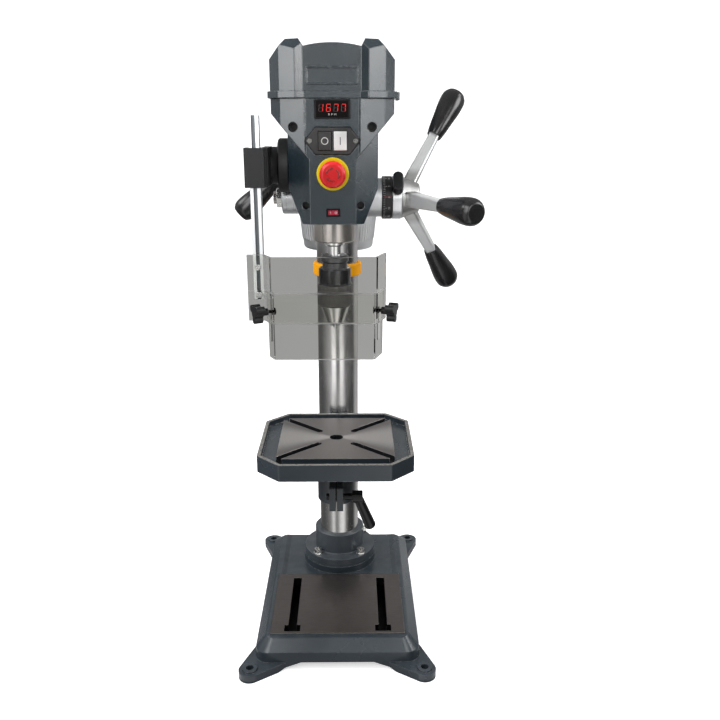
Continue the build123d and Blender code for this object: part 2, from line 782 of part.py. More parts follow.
# Head casting: quill barrel, column barrel, belt tray, feed bosses and posts for the front cover
with BuildPart() as head_casting:
    with BuildSketch(Plane.XY.offset(column_barrel_z)) as body_plan:
        with Locations((0, spindle_y)):
            Circle(quill_barrel_d / 2)
        with Locations((0, column_y)):
            Circle(column_barrel_d / 2)
        make_hull()
    extrude(amount=tray_z - column_barrel_z)
    with BuildSketch(Plane.XY.offset(head_bottom_z)):
        with Locations((0, spindle_y)):
            Circle(quill_barrel_d / 2)
    extrude(amount=column_barrel_z - head_bottom_z)
    with BuildSketch(Plane.XY.offset(tray_z)) as tray_plan:
        add(lid_plan(Plane.XY))
        offset(amount=-cover_wall - free_gap, kind=Kind.INTERSECTION, mode=Mode.REPLACE)
        with Locations((0, tray_front_y)):
            Rectangle(2 * lid_half_w, lid_half_w, align=(Align.CENTER, Align.MAX), mode=Mode.SUBTRACT)
    extrude(amount=tray_h)
    with BuildSketch(Plane.YZ) as feed_boss:
        with Locations((feed_y, feed_z)):
            Circle(feed_boss_d / 2)
    extrude(amount=feed_boss_x)
    with BuildSketch(Plane.YZ.offset(spring_boss_x)) as spring_boss:
        with Locations((feed_y, feed_z)):
            Circle(spring_cup_d / 2)
    extrude(amount=-spring_boss_x)
    with BuildSketch(Plane.YZ.offset(pivot_flange_x)) as guard_boss:
        with Locations((spindle_y, guard_pivot_z)):
            Circle(guard_boss_r)
    extrude(amount=-pivot_flange_x)
    with BuildSketch(Plane.YZ.offset(lever_boss_x)) as lever_boss:
        with Locations((lever_y, lever_z)):
            Circle(lever_hub_d / 2 + 3)
    extrude(amount=-lever_boss_x)
    for side in (-1, 1):
        with BuildSketch(Plane.XZ.offset(-cover_back_y)) as posts:
            with Locations((side * screw_upper_x, screw_upper_z), (side * screw_lower_x, screw_lower_z)):
                Circle(post_r)
        extrude(amount=cover_back_y - spindle_y - post_r)
    with Locations((0, (cover_back_y + spindle_y) / 2 + post_r, screw_upper_z)):
        Box(2 * screw_upper_x, spindle_y - cover_back_y, post_r)
    for knuckle_y in (hinge_y - hinge_span / 2, hinge_y + hinge_span / 2):
        for ear_y in (knuckle_y - hinge_l / 6, knuckle_y + hinge_l / 2):
            with BuildSketch(Plane.XZ.offset(-ear_y)) as hinge_ear:
                with Locations((hinge_x, lid_z + hinge_r)):
                    Circle(hinge_r - 1.5 * free_gap)
                with Locations((hinge_x, tray_z)):
                    Rectangle(hinge_r, lid_z + hinge_r - tray_z, align=(Align.CENTER, Align.MIN))
                with Locations((hinge_x - hinge_r / 2, tray_z)):
                    Rectangle(2 * hinge_r + 3 * lid_lip_out, tray_h - 1, align=(Align.MIN, Align.MIN))
                with Locations((hinge_x, lid_z + hinge_r)):
                    Circle(hinge_pin_d / 2 + running_fit, mode=Mode.SUBTRACT)
            extrude(amount=hinge_l / 3)
    with Locations((0, spindle_y, head_bottom_z)):
        Cylinder(quill_d / 2 + running_fit, sleeve_bottom_z - head_bottom_z,
                 align=on_foot, mode=Mode.SUBTRACT)
    with Locations((0, spindle_y, sleeve_bottom_z)):
        Cylinder(sleeve_od / 2 + free_gap, tray_top_z - sleeve_bottom_z,
                 align=on_foot, mode=Mode.SUBTRACT)
    with Locations((0, spindle_y, pulley_bearing_z)):
        Cylinder(pulley_bearing_od / 2 + running_fit, tray_top_z - pulley_bearing_z,
                 align=on_foot, mode=Mode.SUBTRACT)
    with Locations((0, column_y, column_barrel_z)):
        Cylinder(column_r + running_fit, column_top_z - column_barrel_z,
                 align=on_foot, mode=Mode.SUBTRACT)
    with Locations((0, motor_y, tray_z)):
        Cylinder(motor_shaft_d, tray_h, align=on_foot, mode=Mode.SUBTRACT)
    with BuildSketch(Plane.YZ.offset(-pinion_w / 2 - free_gap)) as pinion_bore:
        with Locations((feed_y, feed_z)):
            Circle(max(pinion_room_r, feed_bush_d / 2 + running_fit))
    extrude(amount=feed_boss_x + pinion_w, mode=Mode.SUBTRACT)
    with BuildSketch(Plane.YZ.offset(spring_boss_x)) as shaft_bore:
        with Locations((feed_y, feed_z)):
            Circle(feed_shaft_d / 2 + running_fit)
    extrude(amount=-spring_boss_x, mode=Mode.SUBTRACT)
    with BuildSketch(Plane.YZ.offset(pivot_flange_x)) as pivot_bore:
        with Locations((spindle_y, guard_pivot_z)):
            Circle(pivot_bolt_d / 2)
    extrude(amount=pivot_bolt_d, mode=Mode.SUBTRACT)
    with BuildSketch(Plane.YZ.offset(lever_boss_x)) as lever_bore:
        with Locations((lever_y, lever_z)):
            Circle(lever_rod_d / 2 + running_fit)
    extrude(amount=lever_hub_d, mode=Mode.SUBTRACT)
    with BuildSketch(Plane.XZ.offset(-cover_back_y)) as post_holes:
        for side in (-1, 1):
            with Locations((side * screw_upper_x, screw_upper_z), (side * screw_lower_x, screw_lower_z)):
                Circle(screw_d / 2)
    extrude(amount=cover_back_y - spindle_y, mode=Mode.SUBTRACT)
    for clamp_z in head_clamp_z:
        with BuildSketch(Plane.YZ.offset(column_r - set_screw_d)) as clamp_hole:
            with Locations((column_y, clamp_z)):
                Circle(set_screw_d / 2)
        extrude(amount=column_barrel_d, mode=Mode.SUBTRACT)
keep(head_casting.part, "head_casting")

# Set screws from the right: one in the column flange's collar, two that clamp the head on the column
with BuildPart() as set_screws:
    for screw_z, outer_r in ((set_screw_z, collar_d / 2), (head_clamp_z[0], column_barrel_d / 2),
                             (head_clamp_z[1], column_barrel_d / 2)):
        with BuildSketch(Plane.YZ.offset(column_r + running_fit)):
            with Locations((column_y, screw_z)):
                Circle(set_screw_d / 2)
        extrude(amount=outer_r - column_r)
        with BuildSketch(Plane.YZ.offset(outer_r + running_fit)):
            with Locations((column_y, screw_z)):
                RegularPolygon(set_screw_head / 2, 6, major_radius=False)
        extrude(amount=set_screw_head_h)
keep(set_screws.part, "set_screws")

# Front cover: a wide upper block over a narrower lower one, hollow, open at the rear and top
vee_slope = (cover_shoulder_z - cover_waist_z) / (cover_top_half_w - cover_mid_half_w)
vee_z = cover_shoulder_z - (cover_top_half_w - cover_vee_half_w) * vee_slope
upper_plan = [(panel_half_w, panel_y), (panel_half_w + panel_recess, cover_front_y),
              (face_half_w, cover_front_y + face_back), (cover_top_half_w, cover_front_y + facet_back)]
upper_front = [(cover_vee_half_w, vee_z), (cover_top_half_w, cover_shoulder_z)]
lower_plan = [(cover_vee_half_w, panel_y), (cover_mid_half_w, panel_y + low_face_back)]
lower_front = [(cover_low_half_w, head_bottom_z), (cover_mid_half_w, cover_taper_z)]


def cover_block(plan, front, inset):
    # Plan outline carried up, cut to the front outline, both drawn in by the inset
    back_y = cover_back_y + inset
    top_z = tray_top_z + inset
    with BuildPart() as block:
        with BuildSketch(Plane.XY.offset(head_bottom_z)):
            with BuildLine():
                Polyline(mirrored(plan + [(plan[-1][0], back_y + inset)]), close=True)
            make_face()
            if inset:
                offset(amount=-inset, kind=Kind.INTERSECTION, mode=Mode.REPLACE)
        extrude(amount=top_z - head_bottom_z)
        with BuildSketch(Plane.XZ.offset(-back_y)):
            with BuildLine():
                Polyline(mirrored(front + [(front[-1][0], top_z + inset)]), close=True)
            make_face()
            if inset:
                offset(amount=-inset, kind=Kind.INTERSECTION, mode=Mode.REPLACE)
        extrude(amount=back_y - cover_front_y, mode=Mode.INTERSECT)
    return block.part


with BuildPart() as cover_void:
    add(cover_block(upper_plan, upper_front, cover_wall))
    add(cover_block(lower_plan, lower_front, cover_wall))
    with BuildSketch(Plane.XZ.offset(-cover_back_y)) as screw_tubes:
        for side in (-1, 1):
            with Locations((side * screw_upper_x, screw_upper_z)):
                Circle(screw_well_upper_d / 2 + 2)
            with Locations((side * screw_lower_x, screw_lower_z)):
                Circle(screw_well_lower_d / 2 + 2)
    extrude(amount=cover_back_y - cover_front_y, mode=Mode.SUBTRACT)

switch_outline = mirrored([(switch_flat_half_w, switch_z - switch_half_h), (switch_half_w, switch_z),
                           (switch_flat_half_w, switch_z + switch_half_h)])
with BuildPart() as front_cover:
    add(cover_block(upper_plan, upper_front, 0))
    add(cover_block(lower_plan, lower_front, 0))
    fillet(front_cover.edges().filter_by(Axis.Z).filter_by(lambda e: e.center().Y < cover_back_y - 1
                                                           and abs(e.center().X) > panel_half_w + 5), 2.5)
    add(cover_void.part, mode=Mode.SUBTRACT)
    with BuildSketch(Plane.XZ.offset(-cover_front_y)) as upper_wells:
        with Locations((-screw_upper_x, screw_upper_z), (screw_upper_x, screw_upper_z)):
            Circle(screw_well_upper_d / 2)
        with Locations((-screw_lower_x, screw_lower_z), (screw_lower_x, screw_lower_z)):
            Circle(screw_well_lower_d / 2)
    extrude(amount=-screw_well_depth - face_back, mode=Mode.SUBTRACT)
    with BuildSketch(Plane.XZ.offset(-cover_front_y)) as screw_holes:
        for side in (-1, 1):
            with Locations((side * screw_upper_x, screw_upper_z), (side * screw_lower_x, screw_lower_z)):
                Circle(screw_d / 2 + free_gap)
    extrude(amount=cover_front_y - cover_back_y, mode=Mode.SUBTRACT)
    with BuildSketch(Plane.XZ.offset(-panel_y)) as openings:
        with Locations((0, display_z)):
            Rectangle(display_w - lens_inset, display_h - lens_inset)
        with Locations((0, estop_z)):
            Circle(estop_hole_d / 2)
        with Locations((0, rocker_z)):
            Rectangle(rocker_w - rocker_rim, rocker_h - rocker_rim)
        with Locations((0, switch_z)):
            Rectangle(2 * switch_flat_half_w, 2 * switch_half_h - lens_inset)
    extrude(amount=-cover_wall, mode=Mode.SUBTRACT)
    with BuildSketch(Plane.XZ.offset(-panel_y)) as pocket:
        with BuildLine():
            Polyline(switch_outline, close=True)
        make_face()
        offset(amount=free_gap, kind=Kind.INTERSECTION, mode=Mode.REPLACE)
    extrude(amount=2 * panel_recess, mode=Mode.SUBTRACT)
    extrude(pocket.sketch, amount=-switch_pocket, mode=Mode.SUBTRACT)
    with Locations((0, spindle_y, head_bottom_z)):
        Cylinder(quill_barrel_d / 2 + free_gap, tray_top_z, align=on_foot,
                 mode=Mode.SUBTRACT)
keep(front_cover.part, "front_cover")

# Four screws deep in the front cover's wells
with BuildPart() as cover_screws:
    well_floor_y = cover_front_y + screw_well_depth + face_back
    with BuildSketch(Plane.XZ.offset(-well_floor_y)) as heads:
        for side in (-1, 1):
            with Locations((side * screw_upper_x, screw_upper_z), (side * screw_lower_x, screw_lower_z)):
                Circle(screw_head_d / 2)
    extrude(amount=screw_head_h)
    with BuildSketch(Plane.XZ.offset(-well_floor_y)) as shanks:
        for side in (-1, 1):
            with Locations((side * screw_upper_x, screw_upper_z), (side * screw_lower_x, screw_lower_z)):
                Circle(screw_d / 2)
    extrude(amount=well_floor_y - cover_back_y - 2 * screw_d)
keep(cover_screws.part, "cover_screws")

# Speed display: bezel with a body behind the panel, and its window
with BuildPart() as display_bezel:
    with BuildSketch(Plane.XZ.offset(-panel_y)):
        with Locations((0, display_z)):
            RectangleRounded(display_w, display_h, 1.5)
    extrude(amount=display_out)
    with BuildSketch(Plane.XZ.offset(-panel_y)):
        with Locations((0, display_z)):
            Rectangle(display_w - lens_inset - free_gap, display_h - lens_inset - free_gap)
    extrude(amount=-display_body)
    with BuildSketch(Plane.XZ.offset(-panel_y + display_out)):
        with Locations((0, display_z)):
            Rectangle(display_w - lens_inset, display_h - lens_inset)
    extrude(amount=-display_out / 2, mode=Mode.SUBTRACT)
keep(display_bezel.part, "display_bezel")

with BuildPart() as display_window:
    with BuildSketch(Plane.XZ.offset(-panel_y + display_out / 2)):
        with Locations((0, display_z)):
            Rectangle(display_w - lens_inset, display_h - lens_inset)
    extrude(amount=display_out / 2)
keep(display_window.part, "display_window")

# Switch plate with two windows for the buttons and a body behind the panel
switch_face_y = panel_y + switch_pocket - switch_out
with BuildPart() as switch_plate:
    with BuildSketch(Plane.XZ.offset(-panel_y - switch_pocket)):
        with BuildLine():
            Polyline(switch_outline, close=True)
        make_face()
    extrude(amount=switch_out)
    chamfer(switch_plate.faces().sort_by(Axis.Y)[0].edges(), 0.8)
    with BuildSketch(Plane.XZ.offset(-panel_y - switch_pocket)):
        with Locations((0, switch_z)):
            Rectangle(2 * switch_flat_half_w - free_gap, 2 * switch_half_h - lens_inset - free_gap)
    extrude(amount=-button_body)
    with BuildSketch(Plane.XZ.offset(-switch_face_y)):
        with Locations((-button_x, switch_z), (button_x, switch_z)):
            Rectangle(button_w + 2 * free_gap, button_h + 2 * free_gap)
    extrude(amount=-button_body - switch_out, mode=Mode.SUBTRACT)
    with BuildSketch(Plane.XZ.offset(-switch_face_y)):
        with Locations((-switch_screw_x, switch_z), (switch_screw_x, switch_z)):
            Circle(switch_screw_d / 4)
    extrude(amount=-switch_out, mode=Mode.SUBTRACT)
keep(switch_plate.part, "switch_plate")

with BuildPart() as switch_screws:
    with BuildSketch(Plane.XZ.offset(-switch_face_y)):
        with Locations((-switch_screw_x, switch_z), (switch_screw_x, switch_z)):
            Circle(switch_screw_d / 2)
    extrude(amount=switch_screw_d / 4)
    with BuildSketch(Plane.XZ.offset(-switch_face_y)):
        with Locations((-switch_screw_x, switch_z), (switch_screw_x, switch_z)):
            Circle(switch_screw_d / 4)
    extrude(amount=-switch_out)
keep(switch_screws.part, "switch_screws")


def push_button(at_x):
    # Square-edged button that slides in its window, a little dished at the edge
    with BuildPart() as button:
        with BuildSketch(Plane.XZ.offset(-switch_face_y + button_out)):
            with Locations((at_x, switch_z)):
                RectangleRounded(button_w, button_h, 1)
        extrude(amount=-button_out - button_body)
        fillet(button.faces().sort_by(Axis.Y)[0].edges(), 0.8)
    return button.part


keep(push_button(-button_x), "stop_button")
keep(push_button(button_x), "start_button")

# Emergency stop: collar on the panel, stem through it and a mushroom that turns on the stem
mushroom_back_y = panel_y - estop_collar_h - estop_travel - free_gap
with BuildPart() as estop_collar:
    with BuildSketch(Plane.XZ.offset(-panel_y)):
        with Locations((0, estop_z)):
            Circle(estop_collar_d / 2)
            Circle(estop_stem_d / 2 + free_gap, mode=Mode.SUBTRACT)
    extrude(amount=estop_collar_h)
    chamfer(estop_collar.faces().sort_by(Axis.Y)[0].edges().sort_by(SortBy.RADIUS)[-1], 1)
keep(estop_collar.part, "estop_collar")

with BuildPart() as estop_stem:
    with BuildSketch(Plane.XZ.offset(-panel_y - button_body)):
        with Locations((0, estop_z)):
            Circle(estop_stem_d / 2)
    extrude(amount=panel_y + button_body - mushroom_back_y + estop_head_h / 2)
keep(estop_stem.part, "estop_stem")

with BuildPart() as estop_mushroom:
    with BuildSketch(Plane.XZ.offset(-mushroom_back_y)):
        with Locations((0, estop_z)):
            Circle(estop_head_d / 2)
    extrude(amount=estop_head_h)
    fillet(estop_mushroom.faces().sort_by(Axis.Y)[0].edges(), estop_head_h / 2.5)
    fillet(estop_mushroom.faces().sort_by(Axis.Y)[-1].edges(), 1)
    with BuildSketch(Plane.XZ.offset(-mushroom_back_y)):
        with Locations((0, estop_z)):
            Circle(estop_stem_d / 2 + running_fit)
    extrude(amount=estop_head_h / 2, mode=Mode.SUBTRACT)
keep(estop_mushroom.part, "estop_mushroom")

# Rocker switch: bezel and a rocker that tips about an upright pin
with BuildPart() as rocker_bezel:
    with BuildSketch(Plane.XZ.offset(-panel_y)):
        with Locations((0, rocker_z)):
            RectangleRounded(rocker_w, rocker_h, 1)
    extrude(amount=rocker_out)
    with BuildSketch(Plane.XZ.offset(-panel_y)):
        with Locations((0, rocker_z)):
            Rectangle(rocker_w - rocker_rim - free_gap, rocker_h - rocker_rim - free_gap)
    extrude(amount=-rocker_w)
    with BuildSketch(Plane.XZ.offset(-panel_y + rocker_out)):
        with Locations((0, rocker_z)):
            Rectangle(rocker_w - 2 * rocker_rim, rocker_h - 2 * rocker_rim)
    extrude(amount=-rocker_out - rocker_w / 2, mode=Mode.SUBTRACT)
keep(rocker_bezel.part, "rocker_bezel")

rocker_room = rocker_w - 2 * rocker_rim
with BuildPart() as rocker:
    with BuildSketch(Plane.XY.offset(rocker_z)) as rocker_plan:
        with BuildLine():
            half = rocker_room / 2 - free_gap - 0.5
            ThreePointArc((-half, panel_y - rocker_out), (0, panel_y - rocker_out + 0.5),
                          (half, panel_y - rocker_out))
            Polyline((half, panel_y - rocker_out), (half - 1.5, panel_y + 3), (1.5 - half, panel_y + 3),
                     (-half, panel_y - rocker_out))
        make_face()
    extrude(amount=rocker_h / 2 - rocker_rim - free_gap, both=True)
keep(rocker.part, "rocker")

# Quill with rack teeth cut on the back, bored for the spindle and its bearings
tooth_pitch = pi * rack_module
rack_depth = 2.25 * rack_module
groove_top = tooth_pitch / 4 + rack_module * tan(radians(20)) + rack_backlash / 2
groove_root = tooth_pitch / 4 - 1.25 * rack_module * tan(radians(20)) + rack_backlash / 2
rack_y = spindle_y + rack_tip
groove_below = ceil((rack_low_z - feed_z) / tooth_pitch)
groove_above = int((quill_top_z - rack_module - feed_z) / tooth_pitch)
with BuildPart() as quill:
    with Locations((0, spindle_y, quill_bottom_z)):
        Cylinder(quill_d / 2, quill_l, align=on_foot)
    chamfer(quill.edges().filter_by(GeomType.CIRCLE), 1.5)
    with Locations((0, spindle_y + rack_tip, rack_low_z)):
        Box(quill_d, quill_d, quill_top_z - rack_low_z, align=(Align.CENTER, Align.MIN, Align.MIN),
            mode=Mode.SUBTRACT)
    with BuildSketch(Plane.YZ.offset(-quill_d / 2)) as rack:
        for step in range(groove_below, groove_above):
            with BuildLine():
                z = feed_z + step * tooth_pitch
                Polyline((rack_y, z - groove_top), (rack_y - rack_depth, z - groove_root),
                         (rack_y - rack_depth, z + groove_root), (rack_y, z + groove_top),
                         close=True)
            make_face()
    extrude(amount=quill_d, mode=Mode.SUBTRACT)
    with Locations((0, spindle_y, quill_bottom_z)):
        Cylinder(quill_bore_d / 2, quill_l, align=on_foot,
                 mode=Mode.SUBTRACT)
        Cylinder(bearing_od / 2, bearing_h, align=on_foot, mode=Mode.SUBTRACT)
    with Locations((0, spindle_y, quill_top_z)):
        Cylinder(bearing_od / 2, bearing_h, align=(Align.CENTER, Align.CENTER, Align.MAX), mode=Mode.SUBTRACT)
keep(quill.part, "quill")

with BuildPart() as spindle_bearings:
    for bearing_z in (quill_bottom_z, quill_top_z - bearing_h):
        with BuildSketch(Plane((0, spindle_y, bearing_z))):
            Circle(bearing_od / 2 - running_fit)
            Circle(spindle_d / 2 + running_fit, mode=Mode.SUBTRACT)
        extrude(amount=bearing_h)
keep(spindle_bearings.part, "spindle_bearings")

# Spindle: arbor for the chuck, neck, nose, shaft in the quill and a splined end for the drive sleeve
chuck_top_z = quill_bottom_z - spindle_nose_h - spindle_neck_h
with BuildPart() as spindle:
    with BuildSketch(Plane((0, spindle_y, quill_bottom_z - spindle_nose_h))):
        Circle(spindle_nose_d / 2)
    extrude(amount=spindle_nose_h - free_gap)
    chamfer(spindle.edges().group_by(Axis.Z)[0], 2)
    with BuildSketch(Plane((0, spindle_y, chuck_top_z))):
        Circle(spindle_neck_d / 2)
    extrude(amount=spindle_neck_h)
    with BuildSketch(Plane((0, spindle_y, chuck_top_z))):
        Circle(arbor_d / 2)
    extrude(amount=-arbor_l, taper=1.5)
    with BuildSketch(Plane((0, spindle_y, quill_bottom_z - spindle_nose_h))):
        Circle(spindle_d / 2)
    extrude(amount=quill_l + spindle_nose_h)
    with BuildSketch(Plane((0, spindle_y, quill_top_z))):
        Circle(spline_core_d / 2)
        with PolarLocations(0, spline_count):
            Rectangle(spline_d, spline_w)
    extrude(amount=spindle_top_z - quill_top_z)
keep(spindle.part, "spindle")

# Drive sleeve with the ribbed pulley, running on two bearings in the head
pulley_z = tray_top_z + pulley_gap
groove_span = groove_count * groove_pitch


def pulley_profile(outer_d, low_z, height):
    # Half section of a ribbed rim, from the axis out, with vee grooves round its middle
    rim = outer_d / 2
    first_z = low_z + (height - groove_span) / 2
    points = [(0, low_z), (rim + 2, low_z), (rim + 2, first_z - 1), (rim, first_z)]
    for step in range(groove_count):
        points.append((rim - groove_depth, first_z + (step + 0.5) * groove_pitch))
        points.append((rim, first_z + (step + 1) * groove_pitch))
    return points + [(rim + 2, first_z + groove_span + 1), (rim + 2, low_z + height), (0, low_z + height)]


with BuildPart() as spindle_pulley:
    with BuildSketch(Plane((0, spindle_y, 0), x_dir=(1, 0, 0), z_dir=(0, -1, 0))) as half_section:
        with BuildLine():
            Polyline(pulley_profile(pulley_d, pulley_z, pulley_h), close=True)
        make_face()
    revolve(axis=Axis((0, spindle_y, 0), (0, 0, 1)))
    with BuildSketch(Plane((0, spindle_y, sleeve_bottom_z))):
        Circle(sleeve_od / 2)
    extrude(amount=pulley_z - sleeve_bottom_z)
    with BuildSketch(Plane((0, spindle_y, pulley_z + pulley_h))):
        Circle(pulley_d / 2 - 3 * groove_depth)
        Circle(sleeve_od / 2, mode=Mode.SUBTRACT)
    extrude(amount=-pulley_h / 2, mode=Mode.SUBTRACT)
    with BuildSketch(Plane((0, spindle_y, sleeve_bottom_z))):
        Circle(spline_core_d / 2 + free_gap)
        with PolarLocations(0, spline_count):
            Rectangle(spline_d + 2 * free_gap, spline_w + 2 * free_gap)
    extrude(amount=pulley_z + pulley_h - sleeve_bottom_z, mode=Mode.SUBTRACT)
keep(spindle_pulley.part, "spindle_pulley")

with BuildPart() as sleeve_bearings:
    with BuildSketch(Plane((0, spindle_y, pulley_bearing_z))):
        Circle(pulley_bearing_od / 2)
        Circle(sleeve_od / 2 + running_fit, mode=Mode.SUBTRACT)
    extrude(amount=pulley_bearing_h)
keep(sleeve_bearings.part, "sleeve_bearings")

# Motor: finned housing with its mounting flange behind the column, shaft and pulley
with BuildPart() as motor_housing:
    with BuildSketch(Plane((0, motor_y, motor_bottom_z))):
        Circle(motor_foot_d / 2)
    with BuildSketch(Plane((0, motor_y, motor_taper_z))):
        Circle(motor_d / 2)
    loft()
    with BuildSketch(Plane((0, motor_y, motor_taper_z))):
        Circle(motor_d / 2)
    extrude(amount=motor_top_z - motor_taper_z)
    fillet(motor_housing.edges().group_by(Axis.Z)[0], 6)
    with BuildSketch(Plane((0, motor_y, motor_taper_z))) as rib_gaps:
        with PolarLocations(motor_d / 2, motor_rib_count):
            Rectangle(2 * motor_rib_depth, motor_rib_w * 1.6)
    extrude(amount=motor_top_z - motor_taper_z - 14, mode=Mode.SUBTRACT)
    with BuildSketch(Plane((0, motor_y, motor_top_z))) as motor_flange:
        RectangleRounded(motor_d - 8, motor_d - 8, 12)
    extrude(amount=tray_z - motor_top_z)
    with Locations((0, motor_y, motor_bottom_z + motor_shaft_foot)):
        Cylinder(motor_shaft_d / 2 + running_fit, motor_top_z, align=on_foot,
                 mode=Mode.SUBTRACT)
keep(motor_housing.part, "motor_housing")

with BuildPart() as motor_shaft:
    with BuildSketch(Plane((0, motor_y, motor_bottom_z + motor_shaft_foot + free_gap))):
        Circle(motor_shaft_d / 2)
    extrude(amount=pulley_z + pulley_h - motor_bottom_z - motor_shaft_foot - free_gap)
keep(motor_shaft.part, "motor_shaft")

with BuildPart() as motor_pulley:
    with BuildSketch(Plane((0, motor_y, 0), x_dir=(1, 0, 0), z_dir=(0, -1, 0))) as motor_section:
        with BuildLine():
            Polyline(pulley_profile(motor_pulley_d, pulley_z, pulley_h), close=True)
        make_face()
    revolve(axis=Axis((0, motor_y, 0), (0, 0, 1)))
    with Locations((0, motor_y, pulley_z)):
        Cylinder(motor_shaft_d / 2, pulley_h, align=on_foot, mode=Mode.SUBTRACT)
keep(motor_pulley.part, "motor_pulley")

# Flat side of the ribbed belt round both pulleys, a running gap off their rims
with BuildPart() as drive_belt:
    with BuildSketch(Plane.XY.offset(pulley_z + (pulley_h - groove_span) / 2 + 1)) as belt_loop:
        for grow, mode in ((belt_thickness, Mode.ADD), (0, Mode.SUBTRACT)):
            with BuildSketch(mode=Mode.PRIVATE) as loop:
                with Locations((0, spindle_y)):
                    Circle(pulley_d / 2 + seat_gap + grow)
                with Locations((0, motor_y)):
                    Circle(motor_pulley_d / 2 + seat_gap + grow)
                make_hull()
            add(loop.sketch, mode=mode)
    extrude(amount=groove_span - 2)
keep(drive_belt.part, "drive_belt")

# Chuck: body with a nose cone and three slanting jaw holes, and the sleeve that turns on it
chuck_waist_z = chuck_top_z - chuck_collar_h
chuck_ring_z = chuck_waist_z - chuck_waist_h
chuck_sleeve_z = chuck_ring_z - chuck_ring_h
chuck_nose_z = chuck_sleeve_z - chuck_sleeve_h
chuck_bottom_z = chuck_nose_z - chuck_nose_h
spindle_axis = Axis((0, spindle_y, 0), (0, 0, 1))
spindle_section = Plane((0, spindle_y, 0), x_dir=(1, 0, 0), z_dir=(0, -1, 0))
jaw_tip_z = chuck_bottom_z - jaw_out


def jaw_plane(turn):
    # Plane at a jaw's tip, square to the jaw's slanting axis, which leans out as it goes up
    out = Vector(sin(radians(turn)), -cos(radians(turn)), 0)
    lean = radians(jaw_lean)
    tip = Vector(0, spindle_y, jaw_tip_z) + out * jaw_tip_r
    return Plane(tip, x_dir=out.cross(Vector(0, 0, 1)), z_dir=out * sin(lean) + Vector(0, 0, cos(lean)))


with BuildPart() as chuck_body:
    with BuildSketch(spindle_section) as chuck_half:
        with BuildLine():
            Polyline((0, chuck_top_z), (chuck_collar_d / 2 - 3, chuck_top_z),
                     (chuck_collar_d / 2, chuck_top_z - 3),
                     (chuck_collar_d / 2, chuck_waist_z + 2), (chuck_waist_d / 2, chuck_waist_z),
                     (chuck_waist_d / 2, chuck_ring_z), (chuck_core_d / 2, chuck_ring_z),
                     (chuck_core_d / 2, chuck_nose_z), (chuck_nose_d / 2, chuck_nose_z - 2),
                     (chuck_nose_tip_d / 2, chuck_bottom_z + 2), (chuck_nose_tip_d / 2 - 2, chuck_bottom_z),
                     (0, chuck_bottom_z), close=True)
        make_face()
    revolve(axis=spindle_axis)
    with BuildSketch(Plane((0, spindle_y, chuck_top_z))):
        Circle(arbor_d / 2 + running_fit)
    extrude(amount=-arbor_l - free_gap, taper=1.5, mode=Mode.SUBTRACT)
    with Locations((0, spindle_y, chuck_bottom_z)):
        Cylinder(chuck_nose_tip_d / 4 + 1, 2 * chuck_nose_h, mode=Mode.SUBTRACT)
    for turn in (0, 120, 240):
        with BuildSketch(jaw_plane(turn)):
            Circle(jaw_d / 2 + seat_gap)
        extrude(amount=jaw_l + jaw_close + 2 * jaw_d, both=True, mode=Mode.SUBTRACT)
keep(chuck_body.part, "chuck_body")

with BuildPart() as chuck_sleeve:
    with BuildSketch(spindle_section) as sleeve_half:
        with BuildLine():
            Polyline((chuck_core_d / 2 + running_fit, chuck_ring_z), (chuck_ring_d / 2 - 1, chuck_ring_z),
                     (chuck_ring_d / 2, chuck_ring_z - 1), (chuck_ring_d / 2, chuck_sleeve_z + 2),
                     (chuck_sleeve_d / 2, chuck_sleeve_z), (chuck_sleeve_d / 2, chuck_nose_z + 2),
                     (chuck_sleeve_d / 2 - 2, chuck_nose_z),
                     (chuck_core_d / 2 + running_fit, chuck_nose_z), close=True)
        make_face()
    revolve(axis=spindle_axis)
keep(chuck_sleeve.part, "chuck_sleeve")

for number, turn in enumerate((0, 120, 240), 1):
    apex = jaw_plane(turn)
    out = Vector(sin(radians(turn)), -cos(radians(turn)), 0)
    corner = Vector(0, spindle_y, jaw_tip_z) + out * (jaw_close * sin(radians(jaw_lean)) + seat_gap)
    with BuildPart() as jaw:
        with BuildSketch(apex):
            Circle(jaw_d / 2)
        extrude(amount=jaw_l)
        with Locations((0, spindle_y, chuck_bottom_z)):
            Cylinder(jaw_grip_d / 2, 4 * jaw_l, mode=Mode.SUBTRACT)
        for side in (-1, 1):
            edge = Vector(sin(radians(turn + side * 60)), -cos(radians(turn + side * 60)), 0)
            inward = edge.cross(Vector(0, 0, side))
            split(bisect_by=Plane(corner, x_dir=edge, z_dir=inward), keep=Keep.TOP)
    keep(jaw.part, f"jaw_{number}")

# Feed shaft with its pinion, from the return spring on the left to the hub on the right
cup_x = spring_boss_x - spring_cup_l
nut_x = cup_x - spring_nut_l
shaft_left_x = nut_x - shaft_end_l
scale_x = feed_boss_x + free_gap
stop_x = scale_x + scale_l
hub_x0 = stop_x + stop_l + free_gap
hub_x1 = hub_x0 + hub_l


def on_feed(x):
    # Plane across the feed axis at x, with its own X to the rear and its own Y up
    return Plane((x, feed_y, feed_z), x_dir=(0, 1, 0), z_dir=(1, 0, 0))


